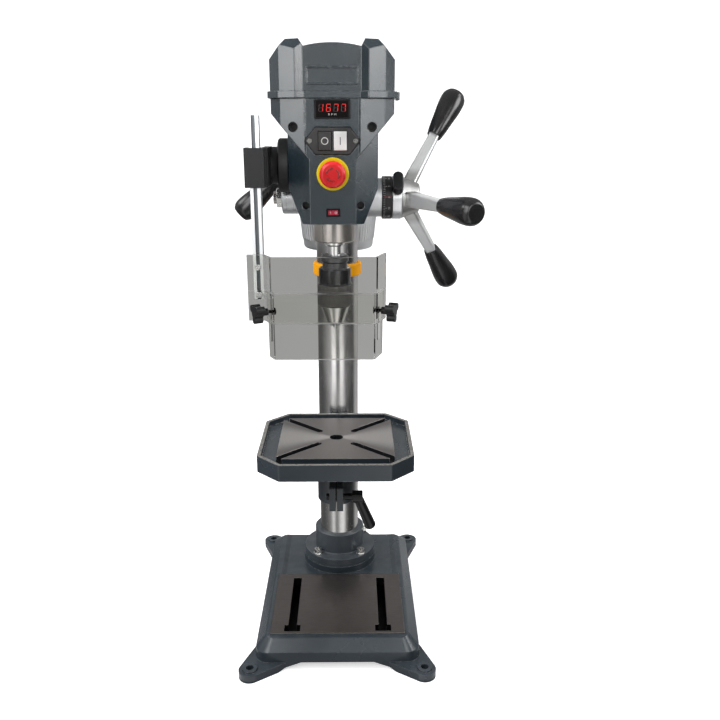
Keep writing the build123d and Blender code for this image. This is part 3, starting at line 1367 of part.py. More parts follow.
tooth_tip = pinion_r + 0.9 * rack_module
tooth_root = pinion_r - 1.25 * rack_module
tooth_half = tooth_pitch / 4 - rack_backlash / 2
tooth_flare = tan(radians(20))
with BuildPart() as feed_shaft:
    with BuildSketch(on_feed(shaft_left_x)):
        Circle(feed_shaft_d / 2)
    extrude(amount=hub_x1 - shaft_left_x)
    with BuildSketch(on_feed(-pinion_w / 2)):
        Circle(tooth_root)
        with PolarLocations(0, pinion_teeth, 180):
            Polygon((feed_shaft_d / 2, -tooth_half - tooth_flare * rack_module),
                    (tooth_root, -tooth_half - tooth_flare * rack_module),
                    (tooth_tip, -tooth_half + tooth_flare * rack_module),
                    (tooth_tip, tooth_half - tooth_flare * rack_module),
                    (tooth_root, tooth_half + tooth_flare * rack_module),
                    (feed_shaft_d / 2, tooth_half + tooth_flare * rack_module), align=None)
    extrude(amount=pinion_w)
keep(feed_shaft.part, "feed_shaft")

with BuildPart() as feed_bush:
    with BuildSketch(on_feed(feed_boss_x - feed_bush_l)):
        Circle(feed_bush_d / 2)
        Circle(feed_shaft_d / 2 + running_fit, mode=Mode.SUBTRACT)
    extrude(amount=feed_bush_l)
keep(feed_bush.part, "feed_bush")

# Return spring in its cup on the left, with the lock nut outside
with BuildPart() as spring_cup:
    with BuildSketch(on_feed(cup_x)):
        Circle(spring_cup_d / 2)
    extrude(amount=spring_cup_l)
    fillet(spring_cup.faces().sort_by(Axis.X)[0].edges(), 3)
    with BuildSketch(on_feed(cup_x + 3)):
        Circle(spring_cup_d / 2 - 3)
    extrude(amount=spring_cup_l - 3, mode=Mode.SUBTRACT)
    with BuildSketch(on_feed(cup_x)):
        Circle(feed_shaft_d / 2 + free_gap)
    extrude(amount=spring_cup_l, mode=Mode.SUBTRACT)
keep(spring_cup.part, "spring_cup")

spring_turns = 4
strip = 0.8
spring_in = feed_shaft_d / 2 + seat_gap
spring_step = (spring_cup_d / 2 - 3 - seat_gap - strip - spring_in) / spring_turns / 2
with BuildPart() as return_spring:
    with BuildSketch(on_feed(cup_x + 5)) as spiral:
        with BuildLine():
            inner = [(spring_in + step * spring_step) * (-1) ** step for step in range(2 * spring_turns + 1)]
            outer = [x + strip * (1 if x > 0 else -1) for x in inner]
            for edge_points in (inner, outer):
                for start, end in zip(edge_points, edge_points[1:]):
                    RadiusArc((start, 0), (end, 0), abs(end - start) / 2)
            Line((inner[0], 0), (outer[0], 0))
            Line((inner[-1], 0), (outer[-1], 0))
        make_face()
    extrude(amount=spring_cup_l - 8)
keep(return_spring.part, "return_spring")

with BuildPart() as spring_nut:
    with BuildSketch(on_feed(nut_x)):
        RegularPolygon(spring_nut_af / 2, 6, major_radius=False)
        Circle(feed_shaft_d / 2 + running_fit, mode=Mode.SUBTRACT)
    extrude(amount=spring_nut_l)
keep(spring_nut.part, "spring_nut")

# Depth stop: black scale ring and aluminium ring that turn together on the shaft, with a lock knob
with BuildPart() as depth_scale:
    with BuildSketch(on_feed(scale_x)):
        Circle(scale_d / 2)
        Circle(feed_shaft_d / 2 + running_fit, mode=Mode.SUBTRACT)
    extrude(amount=scale_l)
    chamfer(depth_scale.edges().filter_by(GeomType.CIRCLE).group_by(SortBy.RADIUS)[-1], 0.8)
keep(depth_scale.part, "depth_scale")

knob_out = Vector(0, -sin(radians(knob_angle)), cos(radians(knob_angle)))
knob_side = knob_out.cross(Vector(1, 0, 0))
knob_foot = Vector(stop_x + stop_l / 2, feed_y, feed_z) + knob_out * (stop_d / 2)
with BuildPart() as depth_stop:
    with BuildSketch(on_feed(stop_x)):
        Circle(stop_d / 2)
        Circle(feed_shaft_d / 2 + running_fit, mode=Mode.SUBTRACT)
    extrude(amount=stop_l)
    chamfer(depth_stop.edges().filter_by(GeomType.CIRCLE).group_by(SortBy.RADIUS)[-1], 1)
    with BuildSketch(Plane(knob_foot, x_dir=(1, 0, 0), z_dir=knob_out)):
        Circle(knob_stem_d / 2 + running_fit)
    extrude(amount=-stop_d / 4, mode=Mode.SUBTRACT)
keep(depth_stop.part, "depth_stop")

with BuildPart() as stop_knob:
    with BuildSketch(Plane(knob_foot - knob_out * (stop_d / 4 - 1), x_dir=(1, 0, 0), z_dir=knob_out)):
        Circle(knob_stem_d / 2)
    extrude(amount=stop_d / 4 + 3)
    with BuildSketch(Plane(knob_foot + knob_out, x_dir=(1, 0, 0), z_dir=knob_out)):
        Circle(knob_wing_h / 2)
    extrude(amount=knob_l / 2)
    with BuildSketch(Plane(knob_foot + knob_out * (knob_l / 3), x_dir=knob_side, z_dir=knob_out)):
        SlotOverall(knob_wing_w, knob_wing_h)
    extrude(amount=knob_l * 2 / 3)
    fillet(stop_knob.faces().sort_by(Axis(knob_foot, knob_out))[-1].edges(), 2.5)
keep(stop_knob.part, "stop_knob")

# Feed hub with three arms, and the grips on their ends
lean = radians(handle_lean)
hub_mid = Vector(hub_x0, feed_y, feed_z)
arm_start = hub_l
arm_end = handle_reach / cos(lean) - grip_l


def arm_plane(turn, along):
    # Plane across an arm at a distance from the hub's middle, facing out along the arm
    out = Vector(0, -sin(radians(turn)), cos(radians(turn)))
    way = out * cos(lean) + Vector(1, 0, 0) * sin(lean)
    return Plane(hub_mid + way * along, x_dir=out.cross(Vector(1, 0, 0)), z_dir=way)


handle_turns = [handle_first + 120 * step for step in range(3)]
with BuildPart() as feed_hub:
    with BuildSketch(on_feed(hub_x0)):
        Circle(hub_cone_d0 / 2)
    with BuildSketch(on_feed(hub_x1)):
        Circle(hub_cone_d1 / 2)
    loft()
    fillet(feed_hub.faces().sort_by(Axis.X)[-1].edges(), 4)
    for turn in handle_turns:
        with BuildSketch(arm_plane(turn, arm_start)):
            RectangleRounded(handle_w + 6, handle_t + 4, 3)
        with BuildSketch(arm_plane(turn, arm_end)):
            RectangleRounded(handle_w, handle_t, 2.5)
        loft()
    with BuildSketch(on_feed(hub_x0)):
        Circle(feed_shaft_d / 2)
    extrude(amount=hub_l, mode=Mode.SUBTRACT)
keep(feed_hub.part, "feed_hub")


def grip_shape(foot):
    # Turned grip: thin at its foot, swelling to a broad rounded end
    with BuildPart() as grip:
        with BuildSketch(Plane(foot.origin, x_dir=foot.x_dir, z_dir=foot.x_dir.cross(foot.z_dir))) as half:
            with BuildLine():
                Line((0, 0), (grip_d0 / 2, 0))
                Spline((grip_d0 / 2, 0), (grip_d1 * 0.42, grip_l * 0.4), (grip_d1 / 2, grip_l * 0.76),
                       (grip_d1 * 0.44, grip_l * 0.94), tangents=((0.25, 1), (-0.8, 1)))
                Spline((grip_d1 * 0.44, grip_l * 0.94), (grip_d1 * 0.3, grip_l),
                       tangents=((-0.8, 1), (-1, 0)))
                Line((grip_d1 * 0.3, grip_l), (0, grip_l))
                Line((0, grip_l), (0, 0))
            make_face()
        revolve(axis=Axis(foot.origin, foot.z_dir))
    return grip.part


with BuildPart() as feed_grips:
    for turn in handle_turns:
        add(grip_shape(arm_plane(turn, arm_end)))
keep(feed_grips.part, "feed_grips")

# Hinge pins of the belt cover
with BuildPart() as hinge_pins:
    for knuckle_y in (hinge_y - hinge_span / 2, hinge_y + hinge_span / 2):
        with BuildSketch(Plane.XZ.offset(-knuckle_y - hinge_l / 2)):
            with Locations((hinge_x, lid_z + hinge_r)):
                Circle(hinge_pin_d / 2)
        extrude(amount=hinge_l)
keep(hinge_pins.part, "hinge_pins")

# Belt tension lever: hub on a pin in the head, slanting rod and grip
lever_hub_x = lever_boss_x - free_gap
lever_way = Vector(-sin(radians(lever_lean)), 0, -cos(radians(lever_lean)))
lever_mid = Vector(lever_hub_x - lever_hub_l / 2, lever_y, lever_z)
with BuildPart() as tension_lever:
    with BuildSketch(Plane((lever_hub_x - lever_hub_l, lever_y, lever_z), x_dir=(0, 1, 0), z_dir=(1, 0, 0))):
        Circle(lever_hub_d / 2)
    extrude(amount=lever_hub_l)
    fillet(tension_lever.edges().group_by(Axis.X)[0], 2)
    with BuildSketch(Plane((lever_hub_x, lever_y, lever_z), x_dir=(0, 1, 0), z_dir=(1, 0, 0))):
        Circle(lever_rod_d / 2)
    extrude(amount=lever_hub_d - 2)
    with BuildSketch(Plane(lever_mid, x_dir=(0, 1, 0), z_dir=lever_way)):
        Circle(lever_rod_d / 2)
    extrude(amount=lever_rod_l)
    add(grip_shape(Plane(lever_mid + lever_way * (lever_rod_l - 1), x_dir=(0, 1, 0), z_dir=lever_way)))
keep(tension_lever.part, "tension_lever")

# Guard pivot: flange on the left of the head with a shouldered pin that carries the bracket
bracket_x = pivot_flange_x - pivot_flange_t - free_gap
bracket_left_x = bracket_x - bracket_t


def on_pivot(x):
    # Plane across the guard's pivot at x, with its own X to the rear and its own Y up
    return Plane((x, spindle_y, guard_pivot_z), x_dir=(0, 1, 0), z_dir=(1, 0, 0))


with BuildPart() as guard_pivot:
    with BuildSketch(on_pivot(pivot_flange_x - pivot_flange_t)):
        Circle(pivot_flange_d / 2)
    extrude(amount=pivot_flange_t)
    chamfer(guard_pivot.edges().group_by(Axis.X)[0], 2)
    with BuildSketch(on_pivot(bracket_left_x - free_gap)):
        Circle(pivot_bolt_d / 2)
    extrude(amount=pivot_flange_x - bracket_left_x + pivot_bolt_d)
    with BuildSketch(on_pivot(bracket_left_x - 2 * free_gap)):
        RegularPolygon(0.75 * pivot_bolt_d, 6, major_radius=False)
    extrude(amount=-0.5 * pivot_bolt_d)
    with BuildSketch(on_pivot(bracket_left_x - 2 * free_gap)):
        Circle(pivot_bolt_d / 2)
    extrude(amount=free_gap)
keep(guard_pivot.part, "guard_pivot")

# Bracket: hub on the pivot, arm to the front and a square sleeve round the profile
with BuildPart() as guard_bracket:
    with BuildSketch(on_pivot(bracket_left_x)):
        Circle(guard_sleeve_h / 2)
    extrude(amount=bracket_t)
    with Locations((bracket_left_x, spindle_y, guard_sleeve_z)):
        Box(bracket_arm_t, spindle_y - profile_y, guard_sleeve_h, align=(Align.MIN, Align.MAX, Align.CENTER))
    with BuildSketch(Plane((profile_x, profile_y, guard_sleeve_z - guard_sleeve_h / 2))):
        RectangleRounded(guard_sleeve_w, guard_sleeve_w, 3)
    extrude(amount=guard_sleeve_h)
    with BuildSketch(Plane((profile_x, profile_y, guard_sleeve_z - guard_sleeve_h / 2))):
        Rectangle(profile_w + 2 * seat_gap, profile_w + 2 * seat_gap)
    extrude(amount=guard_sleeve_h, mode=Mode.SUBTRACT)
    with BuildSketch(on_pivot(bracket_left_x)):
        Circle(pivot_bolt_d / 2 + running_fit)
    extrude(amount=bracket_t, mode=Mode.SUBTRACT)
keep(guard_bracket.part, "guard_bracket")

with BuildPart() as guard_profile:
    with BuildSketch(Plane((profile_x, profile_y, profile_bottom_z))):
        RectangleRounded(profile_w, profile_w, 1)
        with PolarLocations(profile_w / 2, 4):
            Rectangle(2 * profile_slot_depth, profile_slot_w, mode=Mode.SUBTRACT)
    extrude(amount=profile_top_z - profile_bottom_z)
keep(guard_profile.part, "guard_profile")

# Clear shields, each bent from one sheet: the upper is screwed to the profile, the lower slides inside it
flange_y = profile_y - profile_w / 2 - shield_t / 2 - running_fit
front_mid_y = shield_front_y + shield_t / 2
upper_path = [(flange_left_x, flange_y), (upper_left_x, flange_y), (upper_fold_left, front_mid_y),
              (upper_fold_right, front_mid_y), (upper_right_x, shield_back_y)]


def wing_inward(start, end):
    # Unit normal of a wing in plan, pointing towards the spindle
    run = Vector(end[0] - start[0], end[1] - start[1], 0).normalized()
    return Vector(-run.Y, run.X, 0)


left_inward = wing_inward(upper_path[1], upper_path[2])
right_inward = wing_inward(upper_path[3], upper_path[4])
front_inward = Vector(0, 1, 0)


def nested_corner(corner, wing):
    # The corner moved in by the inset from both of its sheets
    move = (wing + front_inward) * (lower_inset / (1 + wing.dot(front_inward)))
    return Vector(corner[0], corner[1], 0) + move


lower_left_fold = nested_corner(upper_path[2], left_inward)
lower_right_fold = nested_corner(upper_path[3], right_inward)
left_slope = -left_inward.Y / left_inward.X
right_slope = -right_inward.Y / right_inward.X
lower_path = [(lower_left_fold.X + (lower_left_back_y - lower_left_fold.Y) * left_slope, lower_left_back_y),
              (lower_left_fold.X, lower_left_fold.Y), (lower_right_fold.X, lower_right_fold.Y),
              (lower_right_fold.X + (shield_back_y - lower_right_fold.Y) * right_slope, shield_back_y)]


def wing_plane(start, end, inward):
    # Plane on the middle of a wing of the upper shield at the knobs' height, facing out
    middle = ((start[0] + end[0]) / 2, (start[1] + end[1]) / 2, guard_knob_z)
    return Plane(middle, x_dir=(0, 0, 1), z_dir=inward * -1)


knob_planes = (wing_plane(upper_path[1], upper_path[2], left_inward),
               wing_plane(upper_path[3], upper_path[4], right_inward))


def bent_sheet(path, low_z, high_z):
    # Sheet of the shields' thickness centred on a path in plan
    with BuildPart() as sheet:
        with BuildSketch(Plane.XY.offset(low_z)):
            with BuildLine():
                FilletPolyline(*path, radius=shield_bend_r)
                offset(amount=shield_t / 2, side=Side.BOTH)
            make_face()
        extrude(amount=high_z - low_z)
    return sheet.part


with BuildPart() as upper_shield:
    add(bent_sheet(upper_path, upper_bottom_z, upper_top_z))
    for knob_plane in knob_planes:
        with BuildSketch(knob_plane):
            Circle(knob_screw_d / 2 + running_fit)
        extrude(amount=2 * shield_t, both=True, mode=Mode.SUBTRACT)
    with BuildSketch(Plane.XZ.offset(-flange_y - shield_t)):
        with Locations([(profile_x, screw_z) for screw_z in shield_screw_zs]):
            Circle(shield_screw_d / 2)
    extrude(amount=2 * shield_t, mode=Mode.SUBTRACT)
keep(upper_shield.part, "upper_shield")

with BuildPart() as lower_shield:
    add(bent_sheet(lower_path, lower_bottom_z, lower_top_z))
    for knob_plane in knob_planes:
        with BuildSketch(knob_plane):
            with Locations((shield_slot_w / 2 - shield_slot_l / 2, 0)):
                SlotOverall(shield_slot_l, shield_slot_w)
        extrude(amount=-lower_inset - 2 * shield_t, mode=Mode.SUBTRACT)
keep(lower_shield.part, "lower_shield")

with BuildPart() as shield_screws:
    for screw_z in shield_screw_zs:
        with BuildSketch(Plane.XZ.offset(-flange_y + shield_t / 2)):
            with Locations((profile_x, screw_z)):
                Circle(shield_screw_head / 2)
        extrude(amount=shield_t)
        with BuildSketch(Plane.XZ.offset(-flange_y + shield_t / 2)):
            with Locations((profile_x, screw_z)):
                Circle(shield_screw_d / 2)
        extrude(amount=-shield_t - profile_slot_depth + 0.5)
keep(shield_screws.part, "shield_screws")


def guard_knob(knob_plane):
    # Three-lobed knob with its screw through both shields and a round nut inside
    with BuildPart() as knob:
        with BuildSketch(knob_plane.offset(-lower_inset - shield_t / 2 - 2 * knob_screw_d / 3 - seat_gap)):
            Circle(knob_screw_d)
        extrude(amount=2 * knob_screw_d / 3)
        with BuildSketch(knob_plane.offset(-lower_inset - shield_t / 2 - seat_gap)):
            Circle(knob_screw_d / 2)
        extrude(amount=lower_inset + shield_t + knob_standoff)
        with BuildSketch(knob_plane.offset(shield_t / 2 + seat_gap)):
            Circle(knob_screw_d)
        extrude(amount=knob_standoff)
        with BuildSketch(knob_plane.offset(knob_standoff)):
            Circle(guard_knob_r * 0.5)
            with PolarLocations(guard_knob_r * 0.66, 3, start_angle=180):
                Circle(guard_knob_r * 0.34)
        extrude(amount=guard_knob_t)
    return knob.part


keep(guard_knob(knob_planes[0]), "guard_knob_left")
keep(guard_knob(knob_planes[1]), "guard_knob_right")
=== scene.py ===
import math

import bpy
import numpy as np
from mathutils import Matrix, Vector


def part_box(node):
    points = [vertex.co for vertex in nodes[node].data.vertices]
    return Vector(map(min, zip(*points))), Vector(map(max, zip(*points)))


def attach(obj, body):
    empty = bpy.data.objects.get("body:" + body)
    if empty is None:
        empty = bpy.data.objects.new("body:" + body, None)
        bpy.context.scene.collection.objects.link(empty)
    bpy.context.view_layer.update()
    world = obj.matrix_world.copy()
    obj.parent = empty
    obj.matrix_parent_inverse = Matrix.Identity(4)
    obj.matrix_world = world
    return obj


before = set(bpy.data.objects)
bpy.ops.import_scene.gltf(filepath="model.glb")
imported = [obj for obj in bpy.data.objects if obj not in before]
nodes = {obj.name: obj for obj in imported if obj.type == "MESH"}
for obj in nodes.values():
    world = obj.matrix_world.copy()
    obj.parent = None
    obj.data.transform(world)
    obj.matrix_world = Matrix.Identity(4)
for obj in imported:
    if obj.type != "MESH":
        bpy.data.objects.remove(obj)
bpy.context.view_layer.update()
print("frame loaded:", len(nodes), "nodes")

# The photo's camera, in metres and degrees
cameraLook = {"place": (0.025, -1.237, 0.840), "pitch": 17.0, "yaw": 0.6, "lens": 39.0, "sensor": 36.0}


def makeCamera(look):
    cameraData = bpy.data.cameras.new("photoCamera")
    cameraData.lens = look["lens"]
    cameraData.sensor_width = look["sensor"]
    camera = bpy.data.objects.new("photoCamera", cameraData)
    camera.location = look["place"]
    camera.rotation_euler = (math.radians(90 - look["pitch"]), 0, math.radians(-look["yaw"]))
    bpy.context.scene.collection.objects.link(camera)
    bpy.context.scene.camera = camera


makeCamera(cameraLook)
scene = bpy.context.scene
scene.view_settings.view_transform = "Standard"
print("camera set")


# Small node helpers: one call adds a node, sets its plain inputs and links the rest
def addNode(tree, kind, inputs=None, **settings):
    node = tree.nodes.new(kind)
    for name, value in settings.items():
        setattr(node, name, value)
    for key, value in (inputs or {}).items():
        socket = node.inputs[key]
        if isinstance(value, bpy.types.NodeSocket):
            tree.links.new(value, socket)
        else:
            socket.default_value = value
    return node


def mathNode(tree, operation, a, b=0.0, clamp=False):
    return addNode(tree, "ShaderNodeMath", {0: a, 1: b}, operation=operation, use_clamp=clamp).outputs[0]


def vectorNode(tree, operation, a, b=(0.0, 0.0, 0.0)):
    return addNode(tree, "ShaderNodeVectorMath", {0: a, 1: b}, operation=operation).outputs


def mixColor(tree, mask, a, b):
    return addNode(tree, "ShaderNodeMix", {0: mask, 6: a, 7: b}, data_type="RGBA").outputs[2]


def mixValue(tree, mask, a, b):
    return addNode(tree, "ShaderNodeMix", {0: mask, 2: a, 3: b}, data_type="FLOAT").outputs[0]


def rangeNode(tree, value, low, high, toLow=0.0, toHigh=1.0):
    return addNode(tree, "ShaderNodeMapRange", {0: value, 1: low, 2: high, 3: toLow, 4: toHigh}).outputs[0]


def noiseNode(tree, place, scale, detail):
    return addNode(tree, "ShaderNodeTexNoise", {"Vector": place, "Scale": scale, "Detail": detail}).outputs["Fac"]


def objectPlace(tree):
    return addNode(tree, "ShaderNodeTexCoord").outputs["Object"]


def objectParts(tree):
    return addNode(tree, "ShaderNodeSeparateXYZ", {0: objectPlace(tree)}).outputs


def rgba(color):
    return (color[0], color[1], color[2], 1.0)


def shade(color, factor):
    return (color[0] * factor, color[1] * factor, color[2] * factor, 1.0)


# A colour that drifts between a darker and a lighter shade of itself
def tinted(tree, mask, look):
    darker, lighter = look["tint"]
    return mixColor(tree, mask, shade(look["color"], darker), shade(look["color"], lighter))


def bumpNode(tree, height, strength, depth, normal):
    inputs = {"Height": height, "Strength": strength, "Distance": depth, "Normal": normal}
    return addNode(tree, "ShaderNodeBump", inputs).outputs[0]


def wire(tree, shader, inputs):
    for name, value in inputs.items():
        tree.links.new(value, shader.inputs[name])


# Node group with its inputs by name and first value, and its outputs by name and kind
def newGroup(name, ins, outs):
    group = bpy.data.node_groups.new(name, "ShaderNodeTree")
    for label, value in ins.items():
        kind = "NodeSocketVector" if isinstance(value, tuple) else "NodeSocketFloat"
        socket = group.interface.new_socket(label, in_out="INPUT", socket_type=kind)
        socket.default_value = value
    for label, kind in outs.items():
        group.interface.new_socket(label, in_out="OUTPUT", socket_type="NodeSocket" + kind)
    return group, group.nodes.new("NodeGroupInput"), group.nodes.new("NodeGroupOutput")


# Grain: two noises on object coordinates, as a height and as a slow tint mask
grainLook = {"fine": 900.0, "fineDetail": 3.0, "broad": 25.0, "broadDetail": 4.0, "tintFrom": (0.35, 0.65)}


def makeGrain(look):
    group, ins, outs = newGroup("grain", {"Fine": look["fine"], "Broad": look["broad"]},
                                {"Height": "Float", "Tint": "Float"})
    place = objectPlace(group)
    fine = noiseNode(group, place, ins.outputs["Fine"], look["fineDetail"])
    broad = noiseNode(group, place, ins.outputs["Broad"], look["broadDetail"])
    wire(group, outs, {"Height": fine, "Tint": rangeNode(group, broad, *look["tintFrom"])})
    return group


# Lay: noise stretched along one axis, the marks that a grinder or a lathe leaves
layLook = {"stretch": (1.0, 1.0, 1.0), "scale": 60.0, "detail": 5.0, "patch": 14.0, "patchDetail": 3.0,
           "patchFrom": (0.35, 0.65)}


def makeLay(look):
    group, ins, outs = newGroup("lay", {"Stretch": look["stretch"], "Scale": look["scale"]},
                                {"Marks": "Float", "Patches": "Float"})
    place = objectPlace(group)
    drawn = vectorNode(group, "MULTIPLY", place, ins.outputs["Stretch"])[0]
    marks = noiseNode(group, drawn, ins.outputs["Scale"], look["detail"])
    patches = noiseNode(group, place, look["patch"], look["patchDetail"])
    wire(group, outs, {"Marks": marks, "Patches": rangeNode(group, patches, *look["patchFrom"])})
    return group


# Edges: a rounded normal for sharp corners, and a broken mask of rubbed corners, which some looks turn into painted
# highlights
edgeLook = {"radius": 0.0012, "wear": 0.5, "samples": 6, "corner": (0.985, 0.86), "rub": 120.0, "rubDetail": 4.0,
            "rubFrom": (0.42, 0.62)}


def makeEdges(look):
    group, ins, outs = newGroup("edges", {"Radius": look["radius"], "Wear": look["wear"]},
                                {"Normal": "Vector", "Mask": "Float"})
    place = objectPlace(group)
    bevel = addNode(group, "ShaderNodeBevel", {"Radius": ins.outputs["Radius"]}, samples=look["samples"])
    soft = bevel.outputs[0]
    flat = addNode(group, "ShaderNodeNewGeometry").outputs["Normal"]
    facing = vectorNode(group, "DOT_PRODUCT", soft, flat)["Value"]
    corner = rangeNode(group, facing, *look["corner"])
    rub = noiseNode(group, place, look["rub"], look["rubDetail"])
    broken = mathNode(group, "MULTIPLY", corner, rangeNode(group, rub, *look["rubFrom"]))
    mask = mathNode(group, "MULTIPLY", broken, ins.outputs["Wear"], clamp=True)
    wire(group, outs, {"Normal": soft, "Mask": mask})
    return group


# Dust: a pale film on faces that look up, broken by noise
dustLook = {"amount": 0.15, "up": (0.5, 1.0), "film": 38.0, "filmDetail": 6.0, "filmFrom": (0.35, 0.75),
            "color": (0.45, 0.44, 0.42), "rough": 0.75}


def makeDust(look):
    group, ins, outs = newGroup("dust", {"Amount": look["amount"]}, {"Mask": "Float"})
    place = objectPlace(group)
    normal = addNode(group, "ShaderNodeNewGeometry").outputs["Normal"]
    up = rangeNode(group, addNode(group, "ShaderNodeSeparateXYZ", {0: normal}).outputs["Z"], *look["up"])
    film = noiseNode(group, place, look["film"], look["filmDetail"])
    mask = mathNode(group, "MULTIPLY", up, rangeNode(group, film, *look["filmFrom"]))
    wire(group, outs, {"Mask": mathNode(group, "MULTIPLY", mask, ins.outputs["Amount"], clamp=True)})
    return group


grainGroup, layGroup = makeGrain(grainLook), makeLay(layLook)
edgeGroup, dustGroup = makeEdges(edgeLook), makeDust(dustLook)


def useGroup(tree, group, **values):
    node = tree.nodes.new("ShaderNodeGroup")
    node.node_tree = group
    for name, value in values.items():
        node.inputs[name].default_value = value
    return node.outputs


def newMaterial(name, **plain):
    material = bpy.data.materials.new(name)
    material.use_nodes = True
    tree = material.node_tree
    shader = tree.nodes["Principled BSDF"]
    for key, value in plain.items():
        shader.inputs[key].default_value = value
    return material, tree, shader


white = (1.0, 1.0, 1.0, 1.0)
markDepth = 0.0004     # of machining marks, in metres
plasticDepth = 0.0003  # of moulded grain
marksFrom = (0.3, 0.7)
# In the looks below, tint is the darkest and the lightest shade of a colour, and spread is how far the roughness goes
# under and over its middle
paintPlain = {"specular": 0.5, "tint": (0.9, 1.1), "spread": (0.05, 0.06)}


# Paint is one colour with a slow tint, rubbed corners (on the cover and table also painted highlights) and a dust film
def paintColor(tree, look, grain, edges, dust):
    color = tinted(tree, grain["Tint"], look)
    color = mixColor(tree, edges["Mask"], color, rgba(look["rubbed"]))
    return mixColor(tree, dust["Mask"], color, rgba(dustLook["color"]))


# Roughness that follows the slow tint of the grain
def grainRough(tree, look, grain):
    below, above = look["spread"]
    return mixValue(tree, grain["Tint"], look["rough"] - below, look["rough"] + above)


# Roughness that follows the machining marks
def markedRough(tree, look, marks):
    below, above = look["spread"]
    return rangeNode(tree, marks, *marksFrom, look["rough"] - below, look["rough"] + above)


# Paint: that colour, dull where the dust lies, with a fine or peeled skin
def paintMaterial(name, look):
    look = dict(paintPlain, **look)
    material, tree, shader = newMaterial(name, **{"Specular IOR Level": look["specular"]})
    grain = useGroup(tree, grainGroup, Fine=look["fine"], Broad=look["broad"])
    edges = useGroup(tree, edgeGroup, Radius=look["radius"], Wear=look["wear"])
    dust = useGroup(tree, dustGroup, Amount=look["dust"])
    wire(tree, shader, {
        "Base Color": paintColor(tree, look, grain, edges, dust),
        "Roughness": mixValue(tree, dust["Mask"], grainRough(tree, look, grain), dustLook["rough"]),
        "Normal": bumpNode(tree, grain["Height"], look["bump"], look["depth"], edges["Normal"])})
    return material


# Metal: drawn or blasted marks in roughness and bump, patches in colour, brighter rubbed corners
metalPlain = {"metallic": 1.0, "radius": 0.0006, "wear": 0.5, "rubbed": (0.75, 0.75, 0.74), "tint": (0.9, 1.08)}


def metalMaterial(name, look):
    look = dict(metalPlain, **look)
    material, tree, shader = newMaterial(name, Metallic=look["metallic"])
    lay = useGroup(tree, layGroup, Stretch=look["stretch"], Scale=look["scale"])
    edges = useGroup(tree, edgeGroup, Radius=look["radius"], Wear=look["wear"])
    color = tinted(tree, lay["Patches"], look)
    normal = edges["Normal"]
    if "lean" in look:   # the grinding marks of the column face up a little, less so under the head
        lean = rangeNode(tree, objectParts(tree)["Z"], *look["leanEnds"], look["lean"], 0.0)
        up = addNode(tree, "ShaderNodeCombineXYZ", {"Z": lean}).outputs[0]
        normal = vectorNode(tree, "NORMALIZE", vectorNode(tree, "ADD", normal, up)[0])[0]
    wire(tree, shader, {
        "Base Color": mixColor(tree, edges["Mask"], color, rgba(look["rubbed"])),
        "Roughness": markedRough(tree, look, lay["Marks"]),
        "Normal": bumpNode(tree, lay["Marks"], look["bump"], markDepth, normal)})
    return material


# Turned metal with two finishes that meet at a level
zonePlain = {"stretch": (3.0, 3.0, 50.0), "scale": 30.0, "radius": 0.0006, "wear": 0.5, "rubbed": (0.35, 0.35, 0.35),
             "tint": (0.9, 1.1), "spread": (0.05, 0.05), "bump": 0.05}


def zonedMetal(name, look):
    look = dict(zonePlain, **look)
    low, high = look["low"], look["high"]
    material, tree, shader = newMaterial(name)
    lay = useGroup(tree, layGroup, Stretch=look["stretch"], Scale=look["scale"])
    edges = useGroup(tree, edgeGroup, Radius=look["radius"], Wear=look["wear"])
    zone = mathNode(tree, "GREATER_THAN", objectParts(tree)["Z"], look["level"])
    darker, lighter = (mixColor(tree, zone, shade(low["color"], tint), shade(high["color"], tint))
                       for tint in look["tint"])
    color = mixColor(tree, lay["Patches"], darker, lighter)
    rough = mixValue(tree, zone, low["rough"], high["rough"])
    below, above = look["spread"]
    marks = rangeNode(tree, lay["Marks"], *marksFrom, -below, above)
    wire(tree, shader, {
        "Base Color": mixColor(tree, edges["Mask"], color, rgba(look["rubbed"])),
        "Roughness": mathNode(tree, "ADD", rough, marks),
        "Metallic": mixValue(tree, zone, low["metallic"], high["metallic"]),
        "Normal": bumpNode(tree, lay["Marks"], look["bump"], markDepth, edges["Normal"])})
    return material


def squaredOff(tree, part, middle):
    off = mathNode(tree, "SUBTRACT", part, middle)
    return mathNode(tree, "MULTIPLY", off, off)


# Feed hub: turned metal round the shaft, with paler blasted arms beyond a radius from it
def hubMaterial(name, look):
    material, tree, shader = newMaterial(name)
    lay = useGroup(tree, layGroup, Stretch=look["stretch"], Scale=look["scale"])
    edges = useGroup(tree, edgeGroup, Radius=look["radius"], Wear=look["wear"])
    low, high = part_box("depth_scale")   # it sits on the shaft
    parts = objectParts(tree)
    aside = squaredOff(tree, parts["Y"], (low.y + high.y) / 2)
    above = squaredOff(tree, parts["Z"], (low.z + high.z) / 2)
    reach = mathNode(tree, "SQRT", mathNode(tree, "ADD", aside, above))
    arm = rangeNode(tree, reach, *look["armFrom"])
    color = mixColor(tree, arm, rgba(look["color"]), rgba(look["arm"]))
    wire(tree, shader, {
        "Base Color": mixColor(tree, edges["Mask"], color, rgba(look["rubbed"])),
        "Metallic": mixValue(tree, arm, 1.0, look["armMetallic"]),
        "Roughness": markedRough(tree, look, lay["Marks"]),
        "Normal": bumpNode(tree, lay["Marks"], look["bump"], markDepth, edges["Normal"])})
    return material
